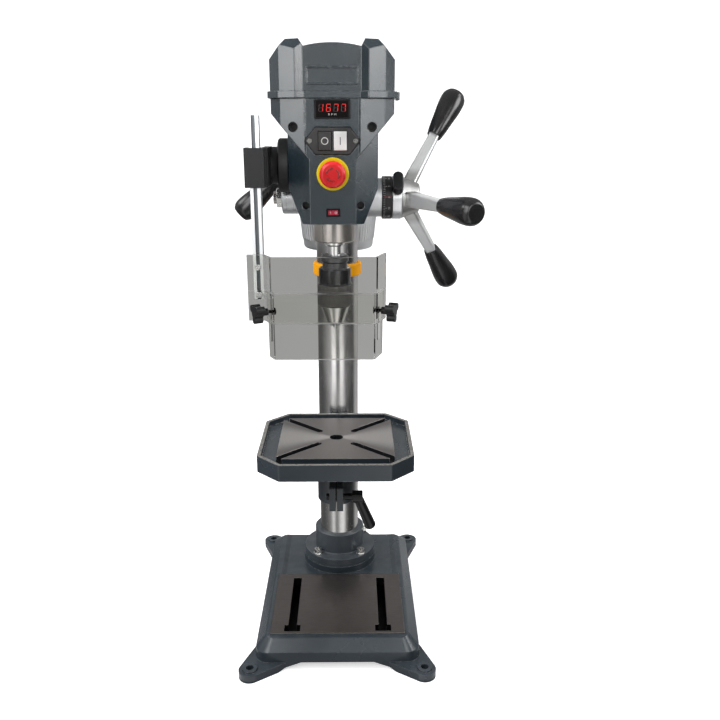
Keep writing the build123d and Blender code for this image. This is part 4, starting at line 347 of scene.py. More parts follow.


# Extruded aluminium post with painted shade, a dark colour, in the slots down the middle of each side
def profileMaterial(name, look):
    material, tree, shader = newMaterial(name, Metallic=1.0)
    lay = useGroup(tree, layGroup, Stretch=look["stretch"], Scale=look["scale"])
    edges = useGroup(tree, edgeGroup, Radius=look["radius"], Wear=look["wear"])
    parts = objectParts(tree)
    low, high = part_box("guard_profile")
    slot = 0.0
    for axis, middle in (("X", (low.x + high.x) / 2), ("Y", (low.y + high.y) / 2)):
        off = mathNode(tree, "ABSOLUTE", mathNode(tree, "SUBTRACT", parts[axis], middle))
        slot = mathNode(tree, "MAXIMUM", slot, mathNode(tree, "LESS_THAN", off, look["slotHalf"]))
    color = tinted(tree, lay["Patches"], look)
    color = mixColor(tree, edges["Mask"], color, rgba(look["rubbed"]))
    wire(tree, shader, {
        # Painted shade in the four slots
        "Base Color": mixColor(tree, slot, color, rgba(look["slot"])),
        "Roughness": markedRough(tree, look, lay["Marks"]),
        "Normal": bumpNode(tree, lay["Marks"], look["bump"], markDepth, edges["Normal"])})
    return material


# Moulded plastic: slow tint, faint grain, softened corners
plasticPlain = {"specular": 0.5, "fine": 1400.0, "broad": 30.0, "radius": 0.0008, "wear": 0.25, "bump": 0.08,
                "tint": (0.88, 1.1), "spread": (0.04, 0.06), "rubbedTimes": 1.8}


def plasticMaterial(name, look):
    look = dict(plasticPlain, **look)
    material, tree, shader = newMaterial(name, **{"Specular IOR Level": look["specular"]})
    grain = useGroup(tree, grainGroup, Fine=look["fine"], Broad=look["broad"])
    edges = useGroup(tree, edgeGroup, Radius=look["radius"], Wear=look["wear"])
    color = tinted(tree, grain["Tint"], look)
    rubbed = rgba(look.get("rubbed", shade(look["color"], look["rubbedTimes"])))
    wire(tree, shader, {
        "Base Color": mixColor(tree, edges["Mask"], color, rubbed),
        "Roughness": grainRough(tree, look, grain),
        "Normal": bumpNode(tree, grain["Height"], look["bump"], plasticDepth, edges["Normal"])})
    return material


# One where a point on the object is above level (or below it) and inside the plan box, zero elsewhere
def topMask(tree, level, lowX, highX, lowY, highY, test="GREATER_THAN"):
    parts = objectParts(tree)
    mask = mathNode(tree, test, parts["Z"], level)
    for axis, low, high in (("X", lowX, highX), ("Y", lowY, highY)):
        mask = mathNode(tree, "MULTIPLY", mask, mathNode(tree, "GREATER_THAN", parts[axis], low))
        mask = mathNode(tree, "MULTIPLY", mask, mathNode(tree, "LESS_THAN", parts[axis], high))
    return mask


# Facing marks of a lathe about an upright line: rings by radius, and a fan that brightens to both sides like a bow
# tie, a painted sheen that stands in for the highlight on the turned rings
def turnedMarks(tree, middleX, middleY, ringsPerMetre, fanFrom):
    parts = objectParts(tree)
    xx, yy = squaredOff(tree, parts["X"], middleX), squaredOff(tree, parts["Y"], middleY)
    reach = mathNode(tree, "ADD", xx, yy)
    fan = mathNode(tree, "DIVIDE", mathNode(tree, "SUBTRACT", xx, yy), reach)
    turns = mathNode(tree, "MULTIPLY", mathNode(tree, "SQRT", reach), ringsPerMetre)
    rings = addNode(tree, "ShaderNodeTexNoise", {"W": turns, "Scale": 1.0, "Detail": 2.0}, noise_dimensions="1D")
    bow = addNode(tree, "ShaderNodeMapRange", {0: fan, 1: fanFrom}, interpolation_type="SMOOTHSTEP")
    return rings.outputs["Fac"], bow.outputs[0]


# Painted casting with one machined face: paint below, ground metal inside the top mask, and painted shade, a near
# black colour, in the slots of the face
facePlain = {"tint": (0.94, 1.06), "spread": (0.06, 0.08), "markFrom": (0.35, 0.65), "markMost": 0.35,
             "markShade": 0.75}


def machinedCasting(name, look, face):
    look, face = dict(paintPlain, **look), dict(facePlain, **face)
    material, tree, shader = newMaterial(name)
    grain = useGroup(tree, grainGroup, Fine=look["fine"], Broad=look["broad"])
    edges = useGroup(tree, edgeGroup, Radius=look["radius"], Wear=look["wear"])
    dust = useGroup(tree, dustGroup, Amount=look["dust"])
    lay = useGroup(tree, layGroup, Stretch=face["stretch"], Scale=face["scale"])
    top = topMask(tree, *face["where"])
    slots = topMask(tree, *face["cut"], test="LESS_THAN")
    marks = lay["Marks"]
    paint = paintColor(tree, look, grain, edges, dust)
    if "rim" in look:   # painted highlight: the top of the table's rim is coloured lighter, broken by the grain
        high = mathNode(tree, "GREATER_THAN", objectParts(tree)["Z"], face["where"][0])
        bare = mathNode(tree, "MULTIPLY", high, rangeNode(tree, grain["Height"], *look["rimFrom"]))
        paint = mixColor(tree, bare, paint, rgba(look["rim"]))
    # Painted shade: the walls and floors of the face's slots are coloured near black, as shade falls in them
    paint = mixColor(tree, slots, paint, rgba(face["slots"]))
    metal = tinted(tree, lay["Patches"], face)
    # Painted sheen: the turned face is coloured lighter to both sides of its middle
    if "turned" in face:
        marks, fan = turnedMarks(tree, *face["turned"])
        metal = mixColor(tree, fan, metal, rgba(face["sheen"]))
    scored = rangeNode(tree, marks, *face["markFrom"], 0.0, face["markMost"])
    metal = mixColor(tree, scored, metal, shade(face["color"], face["markShade"]))
    rough = mixValue(tree, top, grainRough(tree, look, grain), markedRough(tree, face, marks))
    height = mixValue(tree, top, grain["Height"], marks)
    wire(tree, shader, {
        "Base Color": mixColor(tree, top, paint, metal),
        "Roughness": rough,
        "Metallic": top,
        "Normal": bumpNode(tree, height, look["bump"], look["depth"], edges["Normal"])})
    return material


# Clear sheet: faintly smoked, with wipe marks in its roughness and frosted saw cuts along its top and bottom edges
def clearMaterial(name, look):
    material, tree, shader = newMaterial(name, IOR=look["bend"], **{"Transmission Weight": 1.0})
    lay = useGroup(tree, layGroup, Stretch=look["stretch"], Scale=look["scale"])
    height = objectParts(tree)["Z"]
    cut = 0.0
    for level in [corner.z for node in look["sheets"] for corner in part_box(node)]:
        near = mathNode(tree, "ABSOLUTE", mathNode(tree, "SUBTRACT", height, level))
        cut = mathNode(tree, "MAXIMUM", cut, mathNode(tree, "LESS_THAN", near, look["cut"]))
    color = tinted(tree, lay["Patches"], look)
    wiped = rangeNode(tree, lay["Marks"], *look["wipeFrom"], look["clean"], look["rough"])
    wire(tree, shader, {
        "Base Color": mixColor(tree, cut, color, white),
        "Roughness": mixValue(tree, cut, wiped, look["cutRough"])})
    return material


# Lit display parts: a colour that glows, a little uneven
def glowMaterial(name, look):
    material, tree, shader = newMaterial(name, Roughness=look["rough"], **{"Emission Strength": look["strength"]})
    grain = useGroup(tree, grainGroup, Fine=look["fine"], Broad=look["broad"])
    color = tinted(tree, grain["Tint"], look)
    wire(tree, shader, {"Base Color": color, "Emission Color": color})
    return material


paintLooks = {
    # The cover's rubbed corners are turned up into painted highlights along its creases as well as wear; the lid has
    # the same at less strength
    "coverPaint": {"color": (0.012, 0.024, 0.032), "rubbed": (0.20, 0.22, 0.23), "fine": 1000.0, "broad": 9.0,
                   "radius": 0.0016, "wear": 1.8, "dust": 0.03, "specular": 1.0, "rough": 0.23, "bump": 0.35,
                   "depth": 0.0004},
    "flangePaint": {"color": (0.045, 0.055, 0.065), "rubbed": (0.2, 0.2, 0.2), "fine": 420.0, "broad": 20.0,
                    "radius": 0.0012, "wear": 0.4, "dust": 0.08, "rough": 0.34, "bump": 0.25, "depth": 0.0005},
    "armPaint": {"color": (0.030, 0.036, 0.042), "rubbed": (0.2, 0.2, 0.2), "fine": 380.0, "broad": 16.0,
                 "radius": 0.0014, "wear": 0.4, "dust": 0.06, "rough": 0.36, "bump": 0.25, "depth": 0.0005},
    "leverPaint": {"color": (0.006, 0.006, 0.006), "rubbed": (0.05, 0.05, 0.05), "fine": 900.0, "broad": 60.0,
                   "radius": 0.001, "wear": 0.6, "dust": 0.01, "specular": 0.3, "rough": 0.2, "bump": 0.1,
                   "depth": 0.0003},
}
paintLooks["lidPaint"] = dict(paintLooks["coverPaint"], wear=0.7)
castingLook = {"color": (0.028, 0.038, 0.047), "rubbed": (0.16, 0.17, 0.18), "fine": 420.0, "broad": 10.0,
               "radius": 0.0018, "wear": 0.45, "dust": 0.04, "rough": 0.24, "bump": 0.16, "depth": 0.0006}
# The table's rubbed corners are partly wear and partly painted highlight along the edges of its rim
tableLook = dict(castingLook, rubbed=(0.30, 0.29, 0.28), wear=1.4, rim=(0.18, 0.17, 0.155), rimFrom=(0.3, 0.5))
# Machined faces: where and cut are a level and a plan box (low x, high x, low y, high y), cut holding the slots'
# painted shade; turned is the middle of the lathe's rings, how many there are in a metre, and where the fan of painted
# sheen starts
basePad = {"color": (0.178, 0.161, 0.154), "stretch": (1.0, 14.0, 1.0), "scale": 70.0, "rough": 0.34,
           "slots": (0.004, 0.004, 0.004), "where": (0.0504, -0.2, 0.2, -0.17, 0.0105),
           "cut": (0.0504, -0.107, 0.107, -0.160, 0.008)}
tablePad = {"color": (0.25, 0.235, 0.228), "sheen": (0.64, 0.62, 0.60), "stretch": (1.0, 1.0, 1.0), "scale": 60.0,
            "rough": 0.42, "slots": (0.010, 0.011, 0.012), "turned": (0.0, -0.105, 1500.0, 0.3),
            "where": (0.3676, -0.0882, 0.0882, -0.1868, -0.0232),
            "cut": (0.3676, -0.087, 0.087, -0.1855, -0.0245)}
evenLay = (1.0, 1.0, 1.0)
metalLooks = {
    "columnSteel": {"color": (0.50, 0.49, 0.485), "stretch": (6.0, 6.0, 60.0), "scale": 18.0, "rough": 0.19,
                    "spread": (0.04, 0.04), "bump": 0.03, "wear": 0.2, "lean": 0.25, "leanEnds": (0.44, 0.62)},
    "castAluminium": {"color": (0.62, 0.63, 0.64), "stretch": evenLay, "scale": 900.0, "rough": 0.42,
                      "spread": (0.1, 0.1), "bump": 0.3, "radius": 0.0016},
    "boltZinc": {"color": (0.70, 0.70, 0.68), "stretch": evenLay, "scale": 500.0, "rough": 0.26,
                 "spread": (0.08, 0.08), "bump": 0.1},
    "blackScrew": {"color": (0.03, 0.03, 0.03), "stretch": evenLay, "scale": 500.0, "rough": 0.42,
                   "spread": (0.1, 0.1), "bump": 0.1, "rubbed": (0.2, 0.2, 0.2), "metallic": 0.7},
    "greyScrew": {"color": (0.20, 0.20, 0.19), "stretch": evenLay, "scale": 500.0, "rough": 0.3,
                  "spread": (0.1, 0.1), "bump": 0.1},
    "groundSteel": {"color": (0.46, 0.43, 0.40), "stretch": (4.0, 4.0, 70.0), "scale": 20.0, "rough": 0.17,
                    "spread": (0.04, 0.04), "bump": 0.02},
    "spindleChrome": {"color": (0.92, 0.92, 0.91), "stretch": (2.0, 2.0, 60.0), "scale": 20.0, "rough": 0.07,
                      "spread": (0.02, 0.02), "bump": 0.01},
    "jawSteel": {"color": (0.40, 0.40, 0.40), "stretch": (1.0, 1.0, 12.0), "scale": 90.0, "rough": 0.28,
                 "spread": (0.08, 0.08), "bump": 0.08},
    "pulleyAluminium": {"color": (0.60, 0.61, 0.62), "stretch": (2.0, 2.0, 90.0), "scale": 20.0, "rough": 0.3,
                        "spread": (0.08, 0.08), "bump": 0.08},
    "bushBronze": {"color": (0.48, 0.32, 0.14), "stretch": (2.0, 2.0, 90.0), "scale": 20.0, "rough": 0.32,
                   "spread": (0.08, 0.08), "bump": 0.08},
    "springBlue": {"color": (0.12, 0.13, 0.18), "stretch": evenLay, "scale": 300.0, "rough": 0.3,
                   "spread": (0.08, 0.08), "bump": 0.08},
    "turnedAluminium": {"color": (0.64, 0.65, 0.66), "stretch": (90.0, 2.0, 2.0), "scale": 14.0, "rough": 0.32,
                        "spread": (0.07, 0.07), "bump": 0.06, "radius": 0.001},
    "scaleBlack": {"color": (0.012, 0.012, 0.013), "stretch": (60.0, 2.0, 2.0), "scale": 14.0, "rough": 0.34,
                   "spread": (0.06, 0.06), "bump": 0.05, "rubbed": (0.12, 0.12, 0.12), "metallic": 0.3},
}
plasticLooks = {
    "ringOrange": {"color": (1.0, 0.41, 0.0), "rough": 0.42, "specular": 0.1, "rubbed": (1.0, 0.46, 0.01)},
    "gripBlack": {"color": (0.012, 0.012, 0.013), "rough": 0.2, "bump": 0.04, "fine": 700.0},
    "knobBlack": {"color": (0.008, 0.008, 0.009), "rough": 0.4, "bump": 0.2, "specular": 0.3},
    "guardBlack": {"color": (0.012, 0.012, 0.013), "rough": 0.48, "bump": 0.25, "radius": 0.0012, "specular": 0.35},
    "panelBlack": {"color": (0.014, 0.0125, 0.0125), "rough": 0.36, "bump": 0.12, "rubbed": (0.09, 0.085, 0.08)},
    "bezelBlack": {"color": (0.004, 0.004, 0.005), "rough": 0.3, "bump": 0.08, "specular": 0.25},
    "lensBlack": {"color": (0.003, 0.001, 0.001), "rough": 0.12, "bump": 0.01, "specular": 0.2},
    "buttonWhite": {"color": (0.95, 0.95, 0.93), "rough": 0.35, "rubbed": (0.95, 0.95, 0.94)},
    "stopYellow": {"color": (0.95, 0.74, 0.004), "rough": 0.4, "specular": 0.3},
    "stopRed": {"color": (0.80, 0.014, 0.018), "rough": 0.3, "rubbed": (0.82, 0.07, 0.06)},
    "rockerRed": {"color": (0.52, 0.020, 0.055), "rough": 0.3, "rubbed": (0.6, 0.06, 0.10)},
    "stopDark": {"color": (0.26, 0.008, 0.008), "rough": 0.4, "rubbed": (0.4, 0.03, 0.03)},
    "beltRubber": {"color": (0.015, 0.015, 0.015), "rough": 0.6, "bump": 0.3},
    "digitDark": {"color": (0.030, 0.004, 0.004), "rough": 0.3, "bump": 0.02},
    "printWhite": {"color": (0.66, 0.66, 0.64), "rough": 0.5, "bump": 0.05},
    "printDark": {"color": (0.05, 0.05, 0.05), "rough": 0.5, "bump": 0.05},
    "printRed": {"color": (0.62, 0.02, 0.02), "rough": 0.45, "bump": 0.05},
}
chuckLooks = {
    "chuckNose": {"level": 0.5801, "low": {"color": (0.52, 0.51, 0.49), "rough": 0.20, "metallic": 1.0},
                  "high": {"color": (0.10, 0.10, 0.105), "rough": 0.34, "metallic": 0.9}},
    "chuckGrip": {"level": 0.6121, "low": {"color": (0.046, 0.044, 0.042), "rough": 0.6, "metallic": 0.2},
                  "high": {"color": (0.070, 0.070, 0.074), "rough": 0.18, "metallic": 0.95}},
}
sheetLook = {"color": (0.91, 0.91, 0.885), "tint": (0.97, 1.0), "wipeFrom": (0.35, 0.75), "clean": 0.01, "rough": 0.05,
             "bend": 1.12, "cut": 0.0005, "cutRough": 0.7, "stretch": (1.0, 1.0, 0.2), "scale": 40.0,
             "sheets": ("upper_shield", "lower_shield")}
profileLook = {"color": (0.84, 0.86, 0.87), "rubbed": (0.9, 0.9, 0.9), "stretch": (60.0, 60.0, 1.0), "scale": 12.0,
               "tint": (0.94, 1.05), "rough": 0.42, "spread": (0.05, 0.05), "bump": 0.05, "radius": 0.0006,
               "wear": 0.5, "slotHalf": 0.0026, "slot": (0.16, 0.17, 0.18)}
hubLook = {"color": (0.50, 0.50, 0.49), "rubbed": (0.8, 0.8, 0.8), "arm": (0.78, 0.79, 0.79), "armMetallic": 0.55,
           "armFrom": (0.034, 0.044), "stretch": (40.0, 2.0, 2.0), "scale": 14.0, "rough": 0.36,
           "spread": (0.06, 0.08), "bump": 0.06, "radius": 0.001, "wear": 0.5}
digitLook = {"color": (1.0, 0.015, 0.012), "tint": (0.85, 1.0), "strength": 0.5, "rough": 0.4, "fine": 700.0,
             "broad": 180.0}

materials = {}
for maker, looks in ((paintMaterial, paintLooks), (metalMaterial, metalLooks), (plasticMaterial, plasticLooks),
                     (zonedMetal, chuckLooks)):
    for name, look in looks.items():
        materials[name] = maker(name, look)
materials["basePaint"] = machinedCasting("basePaint", castingLook, basePad)
materials["tablePaint"] = machinedCasting("tablePaint", tableLook, tablePad)
materials["clearSheet"] = clearMaterial("clearSheet", sheetLook)
materials["profileAluminium"] = profileMaterial("profileAluminium", profileLook)
materials["hubAluminium"] = hubMaterial("hubAluminium", hubLook)
materials["digitRed"] = glowMaterial("digitRed", digitLook)
print("materials made:", len(materials))

nodeFinish = {
    "basePaint": ["base_casting"],
    "tablePaint": ["table"],
    "armPaint": ["table_arm"],
    "flangePaint": ["column_flange"],
    "coverPaint": ["front_cover"],
    "lidPaint": ["belt_cover"],
    "leverPaint": ["table_clamp_lever", "arm_clamp_lever"],
    "columnSteel": ["column"],
    "castAluminium": ["head_casting", "motor_housing"],
    "boltZinc": ["flange_bolts", "set_screws", "shield_screws", "hinge_pins", "spring_nut"],
    "blackScrew": ["cover_screws"],
    "greyScrew": ["switch_screws"],
    "groundSteel": ["quill", "feed_shaft", "motor_shaft", "spindle_bearings", "sleeve_bearings"],
    "spindleChrome": ["spindle"],
    "chuckNose": ["chuck_body"],
    "chuckGrip": ["chuck_sleeve"],
    "jawSteel": ["jaw_1", "jaw_2", "jaw_3"],
    "pulleyAluminium": ["spindle_pulley", "motor_pulley"],
    "bushBronze": ["arm_bush", "feed_bush"],
    "springBlue": ["return_spring"],
    "turnedAluminium": ["spring_cup", "depth_stop"],
    "hubAluminium": ["feed_hub"],
    "scaleBlack": ["depth_scale"],
    "profileAluminium": ["guard_profile"],
    "clearSheet": ["upper_shield", "lower_shield"],
    "ringOrange": ["column_ring"],
    "beltRubber": ["drive_belt"],
    "gripBlack": ["feed_grips", "tension_lever"],
    "knobBlack": ["stop_knob", "guard_knob_left", "guard_knob_right"],
    "guardBlack": ["guard_pivot", "guard_bracket"],
    "panelBlack": ["switch_plate", "stop_button", "estop_stem"],
    "bezelBlack": ["display_bezel", "rocker_bezel"],
    "lensBlack": ["display_window"],
    "buttonWhite": ["start_button"],
    "stopYellow": ["estop_collar"],
    "stopRed": ["estop_mushroom"],
    "rockerRed": ["rocker"],
}
for finish, names in nodeFinish.items():
    for name in names:
        nodes[name].data.materials.clear()
        nodes[name].data.materials.append(materials[finish])
print("finishes given to", sum(len(names) for names in nodeFinish.values()), "nodes")


# Grid of points, or a stack of equal grids, to one quad mesh; a ring joins its last column to its first
def surfaceObject(name, grid, ring=False):
    stack = grid.reshape((-1,) + grid.shape[-3:])
    count, rows, columns = stack.shape[:3]
    index = np.arange(count * rows * columns).reshape(count, rows, columns)
    if ring:
        index = np.concatenate([index, index[:, :, :1]], axis=2)
    corners = [index[:, :-1, :-1], index[:, :-1, 1:], index[:, 1:, 1:], index[:, 1:, :-1]]
    quads = np.stack(corners, axis=-1).reshape(-1, 4)
    mesh = bpy.data.meshes.new(name)
    mesh.from_pydata(stack.reshape(-1, 3).tolist(), [], quads.tolist())
    mesh.polygons.foreach_set("use_smooth", np.full(len(quads), True))
    piece = bpy.data.objects.new(name, mesh)
    scene.collection.objects.link(piece)
    return piece


# Floor: one sheet whose profile runs flat under the machine, then up a quarter circle behind it and straight on. It is
# lifted to white where it is looked at, and painted dark where the base covers it, a painted shadow seen through the
# base's slots
floorLook = {"floor": (0.90, 0.90, 0.90), "bounce": (0.40, 0.40, 0.41), "under": (0.01, 0.01, 0.01), "rough": 0.6,
             "lift": 0.58, "half": 4.0, "flatEnd": 2.2, "flatSteps": 12, "curve": 1.2, "curveFrom": 0.1,
             "curveSteps": 14, "top": 5.0, "inset": 0.05, "frontInset": 0.075}


def makeFloor(look):
    across = np.linspace(-look["half"], look["half"], 2)
    bend = np.linspace(look["curveFrom"], math.pi / 2, look["curveSteps"])
    flatRun = np.linspace(-look["half"], look["flatEnd"], look["flatSteps"])
    run = np.concatenate([flatRun, look["flatEnd"] + look["curve"] * np.sin(bend)])
    rise = np.concatenate([np.zeros(look["flatSteps"]), look["curve"] - look["curve"] * np.cos(bend)])
    run, rise = np.append(run, look["flatEnd"] + look["curve"]), np.append(rise, look["top"])
    x, y = np.meshgrid(across, run)
    z = np.repeat(rise[:, None], 2, axis=1)
    floor = surfaceObject("floorSheet", np.stack([x, y, z], axis=-1))
    material, tree, shader = newMaterial("floorSheet", Roughness=look["rough"], **{"Emission Color": white})
    looked = addNode(tree, "ShaderNodeLightPath").outputs["Is Camera Ray"]
    low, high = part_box("base_casting")
    inset = look["inset"]
    under = topMask(tree, -1.0, low.x + inset, high.x - inset, low.y + look["frontInset"], high.y - inset)
    plain = mixColor(tree, looked, rgba(look["bounce"]), rgba(look["floor"]))
    bare = mathNode(tree, "SUBTRACT", looked, under, clamp=True)
    wire(tree, shader, {
        # Painted shadow: the floor under the base is near black
        "Base Color": mixColor(tree, under, plain, rgba(look["under"])),
        "Emission Strength": mathNode(tree, "MULTIPLY", bare, look["lift"])})
    floor.data.materials.append(material)


# World: white where it is looked at, dimmer as a light
worldLook = {"level": 0.42, "seen": 1.0}


def makeWorld(look):
    world = bpy.data.worlds.new("studio")
    world.use_nodes = True
    scene.world = world
    tree = world.node_tree
    background = tree.nodes["Background"]
    background.inputs["Color"].default_value = white
    looked = addNode(tree, "ShaderNodeLightPath").outputs["Is Camera Ray"]
    wire(tree, background, {"Strength": mixValue(tree, looked, look["level"], look["seen"])})


# Reflector: a bowl round the machine that only mirrored rays and rays through the clear sheets meet. From foot to rim
# its radius grows evenly and its height with the square. Bands are its brightness by degrees from the viewer to the
# right, at five heights, and what lies between two heights is mixed
bowlLook = {
    "radius": 0.25, "widen": 1.45, "foot": 0.004, "rise": 1.7, "turns": 241, "rows": 41,
    "bands": {
        # column
        0.47: ((-180, 0.37), (-155, 0.35), (-140, 0.14), (-100, 0.11), (-75, 0.20), (-60, 0.33), (-48, 0.55),
               (-42, 1.05), (-32, 1.15), (-26, 0.80), (-20, 0.36), (-12, 0.34), (-4, 0.55), (5, 1.05), (12, 1.35),
               (28, 1.45), (37, 0.90), (44, 0.38), (54, 0.16), (66, 0.07), (92, 0.05), (104, 0.22), (114, 0.60),
               (140, 0.62), (155, 0.39), (180, 0.37)),
        # chin of the head
        0.58: ((-180, 0.50), (-120, 0.45), (-98, 0.50), (-88, 0.50), (-78, 0.50), (-60, 0.65), (-40, 0.65),
               (-34, 1.2), (-15, 1.2), (-9, 0.30), (0, 0.25), (9, 0.30), (14, 1.0), (25, 1.0), (30, 0.30),
               (44, 0.22), (60, 0.15), (86, 0.18), (100, 0.20), (120, 0.22), (180, 0.50)),
        # cheeks
        0.70: ((-180, 0.50), (-120, 0.40), (-98, 0.30), (-88, 0.25), (-78, 0.34), (-56, 0.40), (-40, 0.35),
               (-34, 2.1), (-15, 2.1), (-9, 0.16), (0, 0.10), (9, 0.16), (14, 1.65), (34, 1.65), (40, 0.30),
               (56, 0.12), (80, 0.12), (100, 0.50), (120, 0.40), (180, 0.50)),
        # brow
        0.80: ((-180, 0.50), (-120, 0.40), (-98, 0.45), (-88, 0.40), (-78, 0.25), (-56, 0.30), (-40, 0.45),
               (-34, 3.5), (-15, 3.5), (-9, 0.40), (0, 0.35), (9, 0.40), (14, 3.0), (34, 3.0), (40, 0.35),
               (60, 0.15), (80, 0.15), (100, 0.50), (120, 0.40), (180, 0.50)),
        # lid
        0.92: ((-180, 0.50), (-120, 0.40), (-98, 0.60), (-88, 0.55), (-78, 0.15), (-56, 0.20), (-40, 0.60),
               (-34, 4.9), (-15, 4.9), (-9, 0.82), (0, 0.74), (9, 0.82), (14, 5.4), (34, 5.4), (40, 0.60),
               (54, 0.60), (60, 8.0), (80, 8.0), (86, 0.60), (100, 0.55), (120, 0.40), (180, 0.50)),
    },
}


def makeReflector(look):
    turn, rise = np.meshgrid(np.linspace(-180, 180, look["turns"]), np.linspace(0, 1, look["rows"]))
    radius, height = look["radius"] + look["widen"] * rise, look["foot"] + look["rise"] * rise ** 2
    x, y = radius * np.sin(np.radians(turn)), -radius * np.cos(np.radians(turn))
    bowl = surfaceObject("reflectorSheet", np.stack([x, y, height], axis=-1))
    heights = list(look["bands"])
    step = np.interp(height, heights, range(len(heights)))
    level = np.zeros_like(turn)
    for number, stops in enumerate(look["bands"].values()):
        degrees, bright = np.array(stops, float).T
        level += np.clip(1 - np.abs(step - number), 0, 1) * np.interp(turn, degrees, bright)
    bowl.data.attributes.new("level", "FLOAT", "POINT").data.foreach_set("value", level.ravel())
    black = {"Base Color": (0.0, 0.0, 0.0, 1.0), "Specular IOR Level": 0.0, "Emission Color": white}
    material, tree, shader = newMaterial("reflectorSheet", Roughness=1.0, **black)
    glow = addNode(tree, "ShaderNodeAttribute", attribute_name="level").outputs["Fac"]
    wire(tree, shader, {"Emission Strength": glow})
    material.cycles.emission_sampling = "NONE"
    bowl.data.materials.append(material)
    bowl.visible_camera = bowl.visible_diffuse = bowl.visible_shadow = False


# Lamps: the top one isn't mirrored in shiny things
lampLooks = {
    "keyLamp": {"place": (-1.5, -1.9, 2.3), "aim": (0, 0, 0.5), "size": 1.4, "power": 30.0, "shine": True},
    "fillLamp": {"place": (2.1, -0.1, 1.8), "aim": (0, 0, 0.4), "size": 1.4, "power": 22.0, "shine": True},
    "sideLamp": {"place": (-2.1, -0.1, 1.8), "aim": (0, 0, 0.4), "size": 1.4, "power": 27.0, "shine": True},
    "topLamp": {"place": (0.0, 0.3, 2.9), "aim": (0, 0, 0.4), "size": 1.6, "power": 60.0, "shine": False},
}


def areaLamp(name, look):
    lampData = bpy.data.lights.new(name, "AREA")
    lampData.shape = "RECTANGLE"
    lampData.size = lampData.size_y = look["size"]
    lampData.energy = look["power"]
    lamp = bpy.data.objects.new(name, lampData)
    lamp.location = look["place"]
    lamp.rotation_euler = (Vector(look["aim"]) - Vector(look["place"])).to_track_quat("-Z", "Y").to_euler()
    lamp.visible_camera = False
    lamp.visible_glossy = look["shine"]
    scene.collection.objects.link(lamp)


makeFloor(floorLook)
makeWorld(worldLook)
makeReflector(bowlLook)
for name, look in lampLooks.items():
    areaLamp(name, look)
print("stage set")


def addDetail(piece, finish, body):
    piece.data.materials.append(materials[finish])
    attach(piece, body)
    return piece


# How finely printed marks are drawn, and how narrow a point gets
markGrid = {"along": 15, "side": 7, "round": 48, "tip": 0.02}


# Height of a mark across its width: a cushion whose rim sinks a little into the face
def cushion(side, height):
    return height * (1.1 * (1 - side ** 4) - 0.1)


# Strips between pairs of points (across, up) on an upright face: a straight run, times a width that tapers to a point
# over the last part of it, with a cushion across
def stripGrid(starts, ends, halfWidth, height, point=1.0):
    starts, ends = np.asarray(starts, float), np.asarray(ends, float)
    along = np.linspace(-1, 1, markGrid["along"])
    side = np.linspace(-1, 1, markGrid["side"])
    span = ends - starts
    length = np.linalg.norm(span, axis=1)[:, None]
    taper = (1 - np.abs(along)) * length / (2 * halfWidth * max(point, 1e-3))
    width = halfWidth * np.clip(taper, markGrid["tip"], 1.0)
    middle = (starts + ends)[:, None, :] / 2 + span[:, None, :] * along[None, :, None] / 2
    square = np.stack([-span[:, 1], span[:, 0]], axis=1)[:, None, :] / length[:, :, None]
    flat = middle[:, :, None, :] + square[:, :, None, :] * width[:, :, None, None] * side[None, None, :, None]
    return flat, np.broadcast_to(cushion(side, height), flat.shape[:3])


# Rings (across, up) on an upright face: a circle swept with a cushion across its width
def ringGrid(middle, radius, halfWidth, height):
    turns = np.linspace(0, 2 * math.pi, markGrid["round"], endpoint=False)
    turn, side = np.meshgrid(turns, np.linspace(-1, 1, markGrid["side"]))
    reach = radius + side * halfWidth
    flat = np.stack([middle[0] + reach * np.cos(turn), middle[1] + reach * np.sin(turn)], axis=-1)
    return flat, cushion(side, height)


# From (across, up) and height to space, for a face that looks at the viewer at depth faceY
def onFront(flat, lift, faceY):
    return np.stack([flat[..., 0], np.broadcast_to(faceY, lift.shape) - lift, flat[..., 1]], axis=-1)


# Text laid out flat and centred, as a mesh whose points can then be placed
def textMesh(name, words, size):
    curve = bpy.data.curves.new(name, "FONT")
    curve.body = words
    curve.size = size
    curve.align_x, curve.align_y = "CENTER", "CENTER"
    holder = bpy.data.objects.new(name, curve)
    scene.collection.objects.link(holder)
    bpy.context.view_layer.update()
    mesh = bpy.data.meshes.new_from_object(holder.evaluated_get(bpy.context.evaluated_depsgraph_get()))
    bpy.data.objects.remove(holder)
    bpy.data.curves.remove(curve)
    points = np.empty(len(mesh.vertices) * 3)
    mesh.vertices.foreach_get("co", points)
    return mesh, points.reshape(-1, 3)


def meshPiece(name, mesh, points):
    mesh.name = name
    mesh.vertices.foreach_set("co", points.ravel())
    mesh.update()
    piece = bpy.data.objects.new(name, mesh)
    scene.collection.objects.link(piece)
    return piece


def middleOf(node):
    low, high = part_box(node)
    return (low + high) / 2, low, high


# Speed display: four seven-segment figures, lit and unlit bars, and the unit under them. A bar is a strip between the
# two ends of its segment, moved across in proportion to its height so that the figures lean
displayLook = {"digits": "1677", "digitW": 0.0050, "digitH": 0.0090, "pitch": 0.0098, "rise": 0.0016,
               "bar": 0.00042, "barGap": 0.25, "height": 0.00012, "slant": 0.09,
               "unit": "R P M", "unitSize": 0.0036, "unitSpread": 1.25, "unitDrop": 0.0068, "unitLift": 0.0001}
segmentEnds = np.array([[(0, 1), (1, 1)], [(1, 1), (1, .5)], [(1, .5), (1, 0)], [(0, 0), (1, 0)], [(0, 0), (0, .5)],
                        [(0, .5), (0, 1)], [(0, .5), (1, .5)]])
litSegments = {"0": "1111110", "1": "0110000", "2": "1101101", "3": "1111001", "4": "0110011",
               "5": "1011011", "6": "1011111", "7": "1110000", "8": "1111111", "9": "1111011"}


